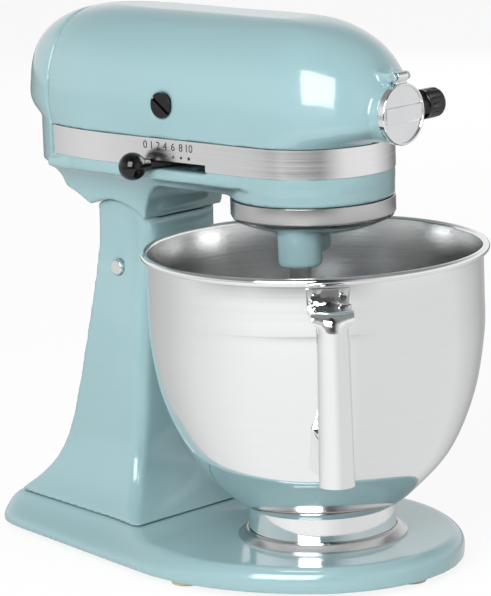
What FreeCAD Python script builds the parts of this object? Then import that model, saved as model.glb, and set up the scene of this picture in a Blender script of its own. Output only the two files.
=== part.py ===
import FreeCAD
import Part
import math
import os

V = FreeCAD.Vector
AXIS_X = V(1, 0, 0)
AXIS_Y = V(0, 1, 0)
AXIS_Z = V(0, 0, 1)
os.makedirs("parts", exist_ok=True)

# Stand mixer with a tilting head, in millimetres.
# Origin: the bowl axis on the worktop. Front is -Y, up is +Z.

# Running and seating clearances
running_gap = 0.05
seat_gap = 0.3
open_gap = 0.6
clear_span = 400.0  # reach of cutting blocks, past every piece
stand_half_span = 120.0
stand_rear_span = 300.0

# Base casting
foot_height = 4.0
foot_radius = 10.0
foot_inset = 17.0
foot_seat = 2.0
foot_round = 1.0
foot_boss_wall = 2.0
base_top = 20.0
base_front_radius = 91.0
base_front_angle = 50.0
base_side_radius = 150.0
base_taper = 11.3
base_half_width = 92.0
base_edge_rise = 5.0
base_edge_drop = 6.0
base_edge_margin = 1.0
toe_margin = 5.0
base_corner_radius = 36.0
base_recess_inset = 12.0
base_recess_depth = 8.0
column_split = 24.0

# Bowl wall and rim, which the column stands clear of
bowl_wall_radius = 107.0
bowl_lip_reach = 4.0
bowl_clearance = 4.0
bowl_rim_radius = bowl_wall_radius + bowl_lip_reach

# Column casting, set out from its front face
column_front = bowl_rim_radius + bowl_clearance
column_sweep_radius = 42.0
crease_radius = 8.0
flare_points = 21
column_top_half_width = 36.5
column_mid_height = 146.0
column_crown_margin = 6.0
column_crown_front = 0.42
column_rear_top = column_front + 50.0
column_rear_mid = column_front + 56.0
column_rear_low = column_front + 68.0
column_rear_low_height = 90.0
base_rear = column_front + 132.0
# Back of the stand below that: how far behind the column's front, and how high
back_points = ((84.0, 50.0), (107.0, 29.0), (125.0, 16.0))
# Heights up the stand with the share of the base's width left there, at the bowl and at the column
flare_levels = (
    (foot_height, 0.985, 0.985),
    (foot_height + base_edge_rise, 1.0, 0.985),
    (base_top - base_edge_drop, 0.995, 0.91),
    (base_top, 0.96, 0.82),
    (32.0, 0.86, 0.71),
    (50.0, 0.74, 0.60),
    (78.0, 0.62, 0.525),
    (column_mid_height, 0.50, 0.45),
)
bolt_radius = 4.0
bolt_head_radius = 7.0
bolt_head_height = 4.5
bolt_length = 40.0
bolt_socket_radius = 0.7 * bolt_radius
bolt_boss_wall = 4.0
bolt_spread_x = 24.0
bolt_front_y = column_front + 13.0
bolt_rear_y = column_front + 53.0

# Tilt hinge
pivot_y = column_front + 30.0
pivot_z = 183.0
pin_radius = 5.0
pin_half_length = 34.8
pin_chamfer = 0.8
pin_hole_reach = 60.0
column_top_radius = 45.0
tongue_half_width = 22.0
tongue_eye_radius = 19.0
tongue_overlap = 6.0
tongue_rise = 8.0
tongue_front_angle = 38.0
tongue_rear_angle = 22.0
tilt_range = 45.0
slot_rise = 2.0
slot_angle_gap = 1.5
pin_screw_radius = 2.5
pin_screw_length = 9.0

# Head castings
band_bottom = 258.5
band_top = 277.0
band_proud = 0.5
band_depth = 0.9
band_rear = 181.0
rail_bottom = 250.0
drum_radius = 52.4
drum_bottom = 240.0
drum_step = 0.4  # the drum sits this far inside the rail above and the ring below
head_half_width = 57.0
head_middle = 120.0
head_top = 353.0
# Heights of the head's level sections between the band and the top
head_heights = (284.0, 291.0, 300.0, 311.0, 322.0, 332.0, 340.0, 346.0, 350.0, 352.0)
side_power = 2.3
nose_power = 2.4
rear_power = 3.2
chin_power = 1.6
plan_power = 2.5
crown_gap = 1.0
nose_crown_gap = 0.5
nose_crown_y = 20.0
nose_round = 0.6
head_rear = 233.0
head_rear_low = 222.0
head_nose = 71.0
belly_height = head_heights[1]
cover_split = 186.0
motor_axis_z = 298.5
motor_bay_radius = 42.0
motor_bay_front = 4.0
motor_bay_rear = 205.0
neck_half_width = 36.5
neck_flare_start = 220.0
neck_flare_half_width = 54.0
neck_ceiling = 243.0
neck_corner = 20.0
neck_rear_top = 214.0
neck_rear_foot = 223.5
neck_front = 20.0
neck_roof = 6.0
neck_bend = 0.32
neck_flare_lean = 0.3

# Attachment hub on the nose
hub_z = 297.7
hub_boss_radius = 19.0
hub_boss_rear = -30.0
hub_face = -73.0
hub_sleeve_radius = 15.5
hub_bore_radius = 13.0
hub_bore_depth = 34.0
hub_cover_radius = 19.4
hub_cover_thickness = 5.0
hub_cover_rim = 1.6
hub_cover_round = 1.0
hub_dish_depth = 1.2
hub_bar_inset = 3.0
hub_bar_root = 2.0
hub_bar_half_height = 5.0
hub_hinge_radius = 1.5
hub_hinge_height = 23.2
hub_hinge_half_width = 8.0
hub_knuckle_radius = 2 * hub_hinge_radius
hub_ear_width = 3.0
hub_ear_reach = 18.0
hub_web_half = 1.2
hub_web_overlap = 3.0
hub_knob_y = -61.0
hub_knob_radius = 9.5
hub_knob_start = 29.0
hub_knob_length = 21.0
hub_screw_radius = 3.5
hub_screw_gap = 0.5
hub_screw_grip = 4.0
hub_knob_gap = 1.0
hub_knob_round = 2.5
hub_waist_offset = 2.5
hub_waist_radius = 4.5
hub_waist_place = 2.0
hub_knob_flutes = 10
hub_flute_radius = 2.0
hub_flute_depth = 0.7
hub_flute_start = 8.0

# Planetary drive under the head
drip_height = 14.0
drip_wall = 1.4
drip_lip_radius = 47.5
drip_lip_drop = 0.3
drip_lip_rise = 1.0
drip_edge_rise = 4.0
drip_edge_low = 1.2
drip_edge_reach = 4.0
drip_floor_rise = 3.0
shaft_offset = 32.25
shaft_rest_angle = 206.0
gear_module = 1.5
# Teeth, as shares of the module and of the pitch
tooth_tip = 0.75
tooth_root = 1.05
tooth_tip_half = 0.115
tooth_root_half = 0.31
ring_teeth = 58
pinion_teeth = 15
gear_bottom = 229.0
gear_height = 7.0
ring_outer_radius = 49.5
drive_shaft_radius = 8.0
drive_shaft_root = 6.0
drive_boss_wall = 5.0
bore_margin = 5.0
dish_radius = 45.5
dish_top = 227.5
dish_bottom = 219.0
dish_floor_radius = 33.0
dish_flat_margin = 10.0
dish_floor_rise = 1.5
dish_rim = 3.0
leg_radius = 14.0
leg_bottom = 201.0
leg_round = 2.5
leg_web_width = 1.6 * leg_radius
leg_web_rise = 6.0
beater_radius = 6.35
beater_nose_top = 186.0
beater_journal_radius = 7.0
beater_bottom = 158.0
beater_chamfer = 1.2
beater_top = 238.0
cross_pin_radius = 1.6
cross_pin_length = 19.0
cross_pin_z = 190.0

# Speed lever and lock lever, mirrored about the middle plane
lever_pivot_x = 10.0
lever_pivot_y = 69.0
lever_knob_x = 69.0
lever_knob_y = 91.0
lever_z = 260.0
lever_thickness = 3.0
lever_width = 7.0
lever_pivot_radius = 4.0
lever_pivot_height = 9.0
lever_knob_radius = 9.0
lever_neck_radius = 5.2
lever_neck_end_radius = 3.6
lever_neck_length = 2.5
lever_pocket_height = 6.0
lever_pocket_half_length = 28.0
lever_pocket_depth = 8.0
lever_room_half_length = 30.0
lever_eye_wall = 3.0

# Motor and gear train
stator_radius = motor_bay_radius - seat_gap
stator_bore = 25.0
stator_front = 96.0
stator_length = 50.0
stator_notch_radius = 9.0
stator_notch_offset = 5.0
core_inset = 3.0
armature_radius = 24.0
motor_shaft_radius = 4.0
motor_shaft_front = 14.0
motor_shaft_rear = 184.0
commutator_radius = 11.0
commutator_length = 18.0
worm_radius = 5.5
worm_length = 26.0
fan_radius = 32.0
fan_disc_radius = fan_radius - 1.0
fan_disc_thickness = 2.0
fan_blades = 8
fan_blade_half = 1.0
fan_blade_root = 8.0
fan_front = 152.0
fan_length = 8.0
plate_thickness = 6.0
plate_holes = 6
plate_hole_circle = 26.0
plate_hole_radius = 8.0
front_plate_y = 48.0
rear_plate_y = 167.0
bush_radius = 10.0
bush_length = 9.0
control_plate_y = 190.0
control_plate_thickness = 3.0
brush_y = 77.0
brush_half_size = 3.0
brush_tube_radius = 6.0
brush_cap_radius = 8.2
brush_cap_height = 4.0
brush_cap_proud = 0.6
brush_cap_seat = head_half_width * 0.985
brush_slot_half = 1.0
brush_slot_depth = 1.0
brush_hole_start = 20.0
brush_gap = 0.2
brush_play = 0.1
brush_length = 22.0
brush_tube_gap = 5.0
drive_gear_teeth = 40
drive_pinion_teeth = 12
drive_gear_z = 257.0
drive_gear_height = 7.0
worm_wheel_x = -24.5
worm_wheel_teeth = 20
worm_wheel_height = 9.0
worm_shaft_radius = 4.0
worm_shaft_foot = 4.0
worm_seat_depth = 5.0
worm_room_height = 60.0
worm_tooth_trim = 0.8
gear_bay_half_width = 45.0
gear_bay_front = -34.0
gear_bay_rear = 66.0
gear_bay_floor = 256.0
gear_bay_top = 308.0
hub_gear_radius = 20.0
hub_gear_y = -36.0
hub_gear_length = 9.0
hub_gear_room = 2.0
hub_gear_lead = 3.0
hub_gear_taper = 6.0
hub_gear_shaft_gap = 4.0
hub_gear_shaft_front = 2.0
hub_gear_shaft_rear = 4.0
hub_socket_half = 4.0
hub_socket_front = 10.0
hub_socket_rear = 8.0
gland_radius = 4.5
gland_length = 9.0
gland_proud = 2.0
gland_x = -26.0

# Bowl
bowl_rim_z = 205.2
bowl_lip_radius = 2.5
bowl_wall = 1.4
bowl_shoulder_z = 150.0
bowl_shoulder_ease = 0.6
bowl_straight_z = 175.0
bowl_side_radius = 99.5
bowl_side_z = 112.0
bowl_turn_radius = 60.0
bowl_turn_z = 49.5
bowl_floor_z = 40.0
bowl_floor_radius = 47.0
bowl_belly_radius = 84.0
bowl_belly_z = 76.0
foot_ring_radius = 47.5
foot_ring_wall = 1.6
foot_ring_top = 42.5
clamp_radius = 54.5
clamp_top = 25.5
clamp_inner_radius = 48.2
clamp_floor = 3.0
clamp_edge = 1.2
clamp_shoulder = 3.5
clamp_dome = 1.4
clamp_rim = 0.8
clamp_screws = 4
clamp_screw_radius = 2.5
clamp_screw_circle = 32.0
clamp_screw_grip = 6.0
handle_angle = 226.5
handle_reach = 146.0
handle_top_z = 192.5
handle_bottom_z = 84.5
handle_bend = 9.0
handle_arm_width = 26.0
handle_arm_rise = 1.0
handle_top_width = 20.0
handle_bottom_width = 22.0
handle_rise = 8.6
handle_lean = 2.6
handle_wall = 1.6
handle_arm_steps = 4
handle_bend_steps = 3
handle_grip_steps = 12
handle_half_points = 4
stay_end_depth = 4.0
stay_width = 29.0
stay_grip_width = 13.0
stay_low = 85.0
stay_high = 113.0
stay_taper = 4.0
bracket_width = 27.0
bracket_height = 17.0
bracket_top_z = 201.0
rivet_radius = 2.0
rivet_root = 3.0
rivet_length = 7.0
rivet_spread = bracket_width * 0.33
rivet_drop = 5.0


def polar(radius, angle_deg, z):
    angle = math.radians(angle_deg)
    return V(radius * math.cos(angle), radius * math.sin(angle), z)


def cylinder(radius, length, start, axis):
    return Part.makeCylinder(radius, length, start, axis)


def tube(outer, inner, length, start, axis):
    return cylinder(outer, length, start, axis).cut(cylinder(inner, length, start, axis))


def box(x0, x1, y0, y1, z0, z1):
    return Part.makeBox(x1 - x0, y1 - y0, z1 - z0, V(x0, y0, z0))


def polygon_face(points):
    return Part.Face(Part.makePolygon(list(points) + [points[0]]))


def turned(profile):
    """Solid of revolution about the bowl axis from (radius, z) corners."""
    face = polygon_face([V(radius, 0, z) for radius, z in profile])
    return face.revolve(V(0, 0, 0), AXIS_Z, 360)


def smooth_loop(points):
    curve = Part.BSplineCurve()
    curve.interpolate(points, PeriodicFlag=True)
    return Part.Wire(curve.toShape())


def mirrored(shape):
    return shape.mirror(V(0, 0, 0), AXIS_X)


def cap_loft(levels):
    return Part.makeLoft([smooth_loop(points) for points in levels], True, False)


def save(name, shape):
    shape.exportStep("parts/%s.step" % name)


# Base and column: one sweeping outer form, parted at column_split


def base_half_outline(z):
    """Corners of the left half of the base plan, front to rear, with its arcs' middle points."""
    turn = math.radians(base_front_angle)
    taper = math.radians(base_taper)
    join = V(-base_front_radius * math.sin(turn), -base_front_radius * math.cos(turn), z)
    center = join + V(base_side_radius * math.sin(turn), base_side_radius * math.cos(turn), 0)
    side_end = center + V(-base_side_radius * math.cos(taper), base_side_radius * math.sin(taper), 0)
    side_mid = center + V(-base_side_radius, 0, 0)
    corner_y = base_rear - base_corner_radius
    slope = math.tan(taper)
    edge_x = side_end.x + (corner_y - side_end.y) * slope + base_corner_radius * math.sin(taper) * slope
    corner = V(edge_x + base_corner_radius / math.cos(taper), corner_y, z)
    corner_start = corner + V(-base_corner_radius * math.cos(taper), base_corner_radius * math.sin(taper), 0)
    diagonal = math.radians((90 + base_taper) / 2)
    corner_mid = corner + V(-math.cos(diagonal), math.sin(diagonal), 0) * base_corner_radius
    corner_end = corner + V(0, base_corner_radius, 0)
    return join, side_mid, side_end, corner_start, corner_mid, corner_end


def flip(point):
    return V(-point.x, point.y, point.z)


def base_outline(z):
    join, side_mid, side_end, corner_start, corner_mid, corner_end = base_half_outline(z)
    nose = V(0, -base_front_radius, z)
    edges = [
        Part.Arc(flip(join), nose, join).toShape(),
        Part.Arc(join, side_mid, side_end).toShape(),
        Part.LineSegment(side_end, corner_start).toShape(),
        Part.Arc(corner_start, corner_mid, corner_end).toShape(),
        Part.LineSegment(corner_end, flip(corner_end)).toShape(),
        Part.Arc(flip(corner_end), flip(corner_mid), flip(corner_start)).toShape(),
        Part.LineSegment(flip(corner_start), flip(side_end)).toShape(),
        Part.Arc(flip(side_end), flip(side_mid), flip(join)).toShape(),
    ]
    return Part.Wire(edges)


def left_half_points(z, count):
    """Evenly spaced points on the left half of the base plan, nose to rear middle."""
    join, side_mid, side_end, corner_start, corner_mid, corner_end = base_half_outline(z)
    turn = math.radians(base_front_angle / 2)
    nose_mid = V(-base_front_radius * math.sin(turn), -base_front_radius * math.cos(turn), z)
    edges = [
        Part.Arc(V(0, -base_front_radius, z), nose_mid, join).toShape(),
        Part.Arc(join, side_mid, side_end).toShape(),
        Part.LineSegment(side_end, corner_start).toShape(),
        Part.Arc(corner_start, corner_mid, corner_end).toShape(),
        Part.LineSegment(corner_end, V(0, base_rear, z)).toShape(),
    ]
    return Part.Wire(edges).discretize(Number=count)


def both_halves(left):
    """Closed run of points from a left half that starts and ends on the middle plane."""
    return left + [flip(point) for point in reversed(left[1:-1])]


def flared_level(z, front_scale, rear_scale):
    """Base plan drawn in across X, by front_scale at the bowl and rear_scale at the column."""
    points = []
    for point in left_half_points(z, flare_points):
        share = min(max(point.y / column_front, 0), 1)
        scale = front_scale + (rear_scale - front_scale) * share
        points.append(V(point.x * scale, point.y, z))
    return both_halves(points)


def stand_form():
    top_scale = column_top_half_width / base_half_width
    levels = [flared_level(z, front_scale, rear_scale) for z, front_scale, rear_scale in flare_levels]
    crown = pivot_z + column_top_radius + column_crown_margin
    levels.append(flared_level(crown, column_crown_front, top_scale))
    form = cap_loft(levels).common(stand_side())
    hinge_level = pivot_z + column_top_radius / 2
    creases = []
    for edge in form.Edges:
        middle = edge.CenterOfMass
        if abs(middle.x) > bolt_spread_x and base_top / 2 < middle.z < hinge_level:
            creases.append(edge)
    return form.makeFillet(crease_radius, creases)


def stand_side():
    """Side view of the stand: foot, swept back, hinge arc at the top, sweep into the base."""
    reach = column_front - column_sweep_radius
    front_drop = math.sqrt(column_top_radius ** 2 - (pivot_y - column_front) ** 2)
    rear_drop = math.sqrt(column_top_radius ** 2 - (column_rear_top - pivot_y) ** 2)
    front_top = V(0, column_front, pivot_z + front_drop)
    rear_top = V(0, column_rear_top, pivot_z + rear_drop)
    crown = V(0, pivot_y, pivot_z + column_top_radius)
    toe = V(0, -base_front_radius - toe_margin, base_top)
    heel = V(0, base_rear + base_edge_margin, foot_height)
    half = column_sweep_radius * (1 - math.sqrt(0.5))
    sweep = Part.Arc(V(0, reach, base_top), V(0, column_front - half, base_top + half),
                     V(0, column_front, base_top + column_sweep_radius))
    back = Part.BSplineCurve()
    rear_low = V(0, column_rear_low, column_rear_low_height)
    places = [rear_top, V(0, column_rear_mid, column_mid_height), rear_low]
    places += [V(0, column_front + behind, height) for behind, height in back_points]
    back.interpolate(places + [heel])
    edges = [
        Part.LineSegment(V(0, toe.y, foot_height), toe).toShape(),
        Part.LineSegment(toe, V(0, reach, base_top)).toShape(),
        sweep.toShape(),
        Part.LineSegment(V(0, column_front, base_top + column_sweep_radius), front_top).toShape(),
        Part.Arc(front_top, crown, rear_top).toShape(),
        back.toShape(),
        Part.LineSegment(heel, V(0, toe.y, foot_height)).toShape(),
    ]
    side = Part.Face(Part.Wire(edges)).extrude(V(2 * stand_half_span, 0, 0))
    return side.translate(V(-stand_half_span, 0, 0))


def wedge(inner, outer, front_angle, rear_angle, half_width):
    """Sector about the tilt pivot; angles are measured from straight up, forwards then rearwards."""
    def spot(radius, angle):
        turn = math.radians(angle)
        return V(-half_width, pivot_y + radius * math.sin(turn), pivot_z + radius * math.cos(turn))
    middle = (rear_angle - front_angle) / 2
    edges = [
        Part.LineSegment(spot(inner, -front_angle), spot(outer, -front_angle)).toShape(),
        Part.Arc(spot(outer, -front_angle), spot(outer, middle), spot(outer, rear_angle)).toShape(),
        Part.LineSegment(spot(outer, rear_angle), spot(inner, rear_angle)).toShape(),
        Part.Arc(spot(inner, rear_angle), spot(inner, middle), spot(inner, -front_angle)).toShape(),
    ]
    return Part.Face(Part.Wire(edges)).extrude(V(2 * half_width, 0, 0))


def pivot_disc(radius, half_width):
    return cylinder(radius, 2 * half_width, V(-half_width, pivot_y, pivot_z), AXIS_X)


def bolt_places():
    for y in (bolt_front_y, bolt_rear_y):
        for side in (-1, 1):
            yield side * bolt_spread_x, y


def foot_places():
    """Four feet under the outline and one at the nose."""
    rear_x = abs(base_half_outline(0)[5].x) + foot_radius / 2
    side_y = base_side_radius / 4
    side_x = abs(base_half_outline(0)[1].x) - foot_inset
    return [
        (-rear_x, base_rear - foot_inset),
        (rear_x, base_rear - foot_inset),
        (-side_x, side_y),
        (side_x, side_y),
        (0, foot_inset - base_front_radius),
    ]


def make_stand():
    form = stand_form()
    low = box(-stand_half_span, stand_half_span, -stand_half_span, stand_rear_span, 0, column_split)
    base = form.common(low)
    column = form.cut(low)
    recess = Part.Face(base_outline(foot_height).makeOffset2D(-base_recess_inset))
    recess = recess.extrude(V(0, 0, base_recess_depth))
    for x, y in bolt_places():
        boss = cylinder(bolt_head_radius + bolt_boss_wall, base_recess_depth, V(x, y, foot_height), AXIS_Z)
        recess = recess.cut(boss)
    for x, y in foot_places():
        boss = cylinder(foot_radius + foot_boss_wall, base_recess_depth, V(x, y, foot_height), AXIS_Z)
        recess = recess.cut(boss)
    clamp_hole = cylinder(clamp_radius, base_top, V(0, 0, foot_height), AXIS_Z)
    base = base.cut(recess.cut(clamp_hole))
    for screw in clamp_screw_set():
        base = base.cut(screw)
    feet = []
    for x, y in foot_places():
        base = base.cut(cylinder(foot_radius, foot_seat, V(x, y, foot_height), AXIS_Z))
        pad = cylinder(foot_radius, foot_height + foot_seat, V(x, y, 0), AXIS_Z)
        feet.append(pad.makeFillet(foot_round, [pad.Edges[2]]))
    bolts = []
    for x, y in bolt_places():
        seat = V(x, y, foot_height)
        shank = cylinder(bolt_radius, bolt_length, seat, AXIS_Z)
        head = cylinder(bolt_head_radius, bolt_head_height, seat, AXIS_Z)
        socket = cylinder(bolt_socket_radius, bolt_head_height / 2, seat, AXIS_Z)
        base = base.cut(shank).cut(head)
        column = column.cut(shank)
        bolts.append(shank.fuse(head).cut(socket).removeSplitter())
    slot_half = tongue_half_width + seat_gap
    column = column.cut(pivot_disc(tongue_eye_radius + open_gap, slot_half))
    swing = tilt_range - tongue_rear_angle + slot_angle_gap
    slot = wedge(tongue_eye_radius - tongue_overlap, column_top_radius + slot_rise,
                 tongue_front_angle + slot_angle_gap, swing, slot_half)
    column = column.cut(slot).cut(pivot_disc(pin_radius, pin_hole_reach))
    pin = pivot_disc(pin_radius, pin_half_length)
    pin = pin.makeChamfer(pin_chamfer, [edge for edge in pin.Edges if edge.Closed])
    screw_at = V((slot_half + pin_half_length) / 2, pivot_y, pivot_z)
    screw = cylinder(pin_screw_radius, pin_screw_length, screw_at + V(0, pin_radius, 0), AXIS_Y)
    column = column.cut(cylinder(pin_screw_radius, pin_hole_reach, screw_at, AXIS_Y))
    save("base_casting", base)
    save("column_casting", column)
    save("column_bolts", Part.Compound(bolts))
    save("rubber_feet", Part.Compound(feet))
    save("hinge_pin", pin)
    save("pin_set_screw", screw)


# Head: outer form from level sections, parted into castings


def head_half_width_at(z):
    if z <= belly_height:
        return head_half_width
    rise = (z - belly_height) / (head_top + crown_gap - belly_height)
    return head_half_width * (1 - rise ** side_power) ** (1 / side_power)


def head_front_at(z):
    if z <= belly_height:
        drop = (belly_height - z) / (belly_height - band_top)
        return -head_nose + (head_nose - drum_radius) * min(drop, 1) ** chin_power
    rise = (z - belly_height) / (head_top + nose_crown_gap - belly_height)
    return nose_crown_y - (head_nose + nose_crown_y) * (1 - rise ** nose_power) ** (1 / nose_power)


def head_rear_at(z):
    if z <= belly_height:
        drop = (belly_height - z) / (belly_height - band_top)
        return head_rear - (head_rear - head_rear_low) * min(drop, 1)
    rise = (z - belly_height) / (head_top + crown_gap - belly_height)
    return head_middle + (head_rear - head_middle) * (1 - rise ** rear_power) ** (1 / rear_power)


def head_level(z, inset=0.0):
    """Plan of the head at one height: round nose, slightly widening sides, full round rear."""
    half = head_half_width_at(z) - inset
    nose_half = (drum_radius - inset) * half / (head_half_width - inset)
    front = head_front_at(z) + inset
    rear = head_rear_at(z) - inset
    start = max(0, front + nose_half * nose_round)
    left = []
    for step in range(7):
        turn = math.radians(15 * step)
        left.append(V(-nose_half * math.sin(turn), start - (start - front) * math.cos(turn), z))
    left.append(V(-(nose_half + half) / 2, (start + head_middle) / 2, z))
    for step in range(9):
        turn = math.radians(11.25 * step)
        x = half * math.cos(turn) ** (2 / plan_power)
        y = head_middle + (rear - head_middle) * math.sin(turn) ** (2 / plan_power)
        left.append(V(-x, y, z))
    left[0] = V(0, front, z)
    left[-1] = V(0, rear, z)
    return both_halves(left)


def upper_form():
    return cap_loft([head_level(z) for z in (band_top, *head_heights, head_top)])


def rail_form(inset, low, high):
    return Part.Face(smooth_loop(head_level(low, inset))).extrude(V(0, 0, high - low))


def lower_form():
    drum = cylinder(drum_radius - drum_step, band_bottom - drum_bottom, V(0, 0, drum_bottom), AXIS_Z)
    return rail_form(0, rail_bottom, band_top).fuse(drum).fuse(neck_form())


def neck_form():
    """Neck over the column: flush sides, a rounded throat in front and a sloping back."""
    arc_radius = column_top_radius + seat_gap
    front_y = column_front
    front_drop = math.sqrt(arc_radius ** 2 - (pivot_y - front_y) ** 2)
    rear_drop = math.sqrt(arc_radius ** 2 - (column_rear_top - pivot_y) ** 2)
    front = V(-neck_half_width, front_y, pivot_z + front_drop)
    rear = V(-neck_half_width, column_rear_top, pivot_z + rear_drop)
    crown = V(-neck_half_width, pivot_y, pivot_z + arc_radius)
    throat = V(-neck_half_width, front_y - neck_corner, neck_ceiling)
    bend = V(-neck_half_width, front_y - neck_corner * neck_bend,
             neck_ceiling - (neck_ceiling - front.z) * neck_bend)
    nose = V(-neck_half_width, neck_front, neck_ceiling)
    roof_front = V(-neck_half_width, neck_front, rail_bottom + neck_roof)
    roof_rear = V(-neck_half_width, neck_rear_top, rail_bottom + neck_roof)
    back = V(-neck_half_width, neck_rear_top, rail_bottom)
    edges = [
        Part.Arc(front, crown, rear).toShape(),
        Part.LineSegment(rear, back).toShape(),
        Part.LineSegment(back, roof_rear).toShape(),
        Part.LineSegment(roof_rear, roof_front).toShape(),
        Part.LineSegment(roof_front, nose).toShape(),
        Part.LineSegment(nose, throat).toShape(),
        Part.Arc(throat, bend, front).toShape(),
    ]
    side = Part.Face(Part.Wire(edges))
    side.translate(V(neck_half_width - neck_flare_half_width, 0, 0))
    return side.extrude(V(2 * neck_flare_half_width, 0, 0)).common(neck_flare())


def neck_flare():
    """Front view of the neck: as wide as the column below, swept out to the rail above."""
    foot = V(-neck_half_width, 0, pivot_z)
    start = V(-neck_half_width, 0, neck_flare_start)
    end = V(-neck_flare_half_width, 0, rail_bottom)
    roof = V(-neck_flare_half_width, 0, band_bottom)
    cove = Part.BSplineCurve()
    cove.interpolate([start, end], InitialTangent=V(0, 0, 1), FinalTangent=V(-1, 0, neck_flare_lean))
    edges = [
        Part.LineSegment(foot, start).toShape(),
        cove.toShape(),
        Part.LineSegment(end, roof).toShape(),
        Part.LineSegment(roof, V(0, 0, band_bottom)).toShape(),
        Part.LineSegment(V(0, 0, band_bottom), V(0, 0, pivot_z)).toShape(),
        Part.LineSegment(V(0, 0, pivot_z), foot).toShape(),
    ]
    half = Part.Face(Part.Wire(edges)).extrude(V(0, head_rear, 0))
    return half.fuse(mirrored(half)).removeSplitter()


def tongue():
    eye = pivot_disc(tongue_eye_radius, tongue_half_width)
    blade = wedge(tongue_eye_radius - tongue_overlap, column_top_radius + tongue_rise,
                  tongue_front_angle, -tongue_rear_angle, tongue_half_width)
    return eye.fuse(blade).cut(pivot_disc(pin_radius + running_gap, clear_span))


def lever_pocket():
    low = lever_z - lever_pocket_height / 2
    front = lever_pivot_y - lever_pocket_half_length
    rear = lever_pivot_y + lever_pocket_half_length
    return box(-clear_span, lever_pocket_depth - lever_pivot_x, front, rear, low, low + lever_pocket_height)


def motor_bay():
    length = motor_bay_rear - motor_bay_front
    return cylinder(motor_bay_radius, length, V(0, motor_bay_front, motor_axis_z), AXIS_Y)


def gear_bay():
    """Space for the gear train and the levers, below and ahead of the motor bay, round at the nose."""
    height = gear_bay_top - gear_bay_floor
    half = gear_bay_half_width
    nose = cylinder(half, height, V(0, 0, gear_bay_floor), AXIS_Z)
    room = nose.fuse(box(-half, half, 0, gear_bay_rear, gear_bay_floor, gear_bay_top))
    return room.common(box(-half, half, gear_bay_front, gear_bay_rear, gear_bay_floor, gear_bay_top))


def hub_boss():
    boss = cylinder(hub_boss_radius, hub_boss_rear - hub_face, V(0, hub_face, hub_z), AXIS_Y)
    return boss.cut(box(-clear_span, clear_span, -clear_span, 0, 0, band_top))


def hub_hole(radius):
    return cylinder(radius, hub_bore_depth, V(0, hub_face, hub_z), AXIS_Y)


def hub_screw_hole():
    return cylinder(hub_screw_radius + running_gap, clear_span, V(0, hub_knob_y, hub_z), AXIS_X)


def hub_hinge_place(x):
    return V(x, hub_face - hub_cover_thickness / 2, hub_z + hub_hinge_height)


def hub_ears():
    """Two ears on the nose that carry the cover's hinge pin."""
    ears = []
    for low in (-hub_hinge_half_width, hub_hinge_half_width - hub_ear_width):
        spot = hub_hinge_place(low)
        eye = cylinder(hub_knuckle_radius, hub_ear_width, spot, AXIS_X)
        arm = box(low, low + hub_ear_width, spot.y, spot.y + hub_ear_reach,
                  spot.z - hub_knuckle_radius, spot.z + hub_knuckle_radius)
        ears.append(eye.fuse(arm))
    return ears[0].fuse(ears[1]).cut(hub_pin())


def hub_pin():
    start = hub_hinge_place(-hub_hinge_half_width)
    return cylinder(hub_hinge_radius, 2 * hub_hinge_half_width, start, AXIS_X)


def brush_axis(radius, start, length):
    """Cylinder on the brush line from the motor axis out to the left side."""
    return cylinder(radius, length, V(-start - length, brush_y, motor_axis_z), AXIS_X)


def brush_cap_start():
    return brush_cap_seat - brush_cap_height


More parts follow.
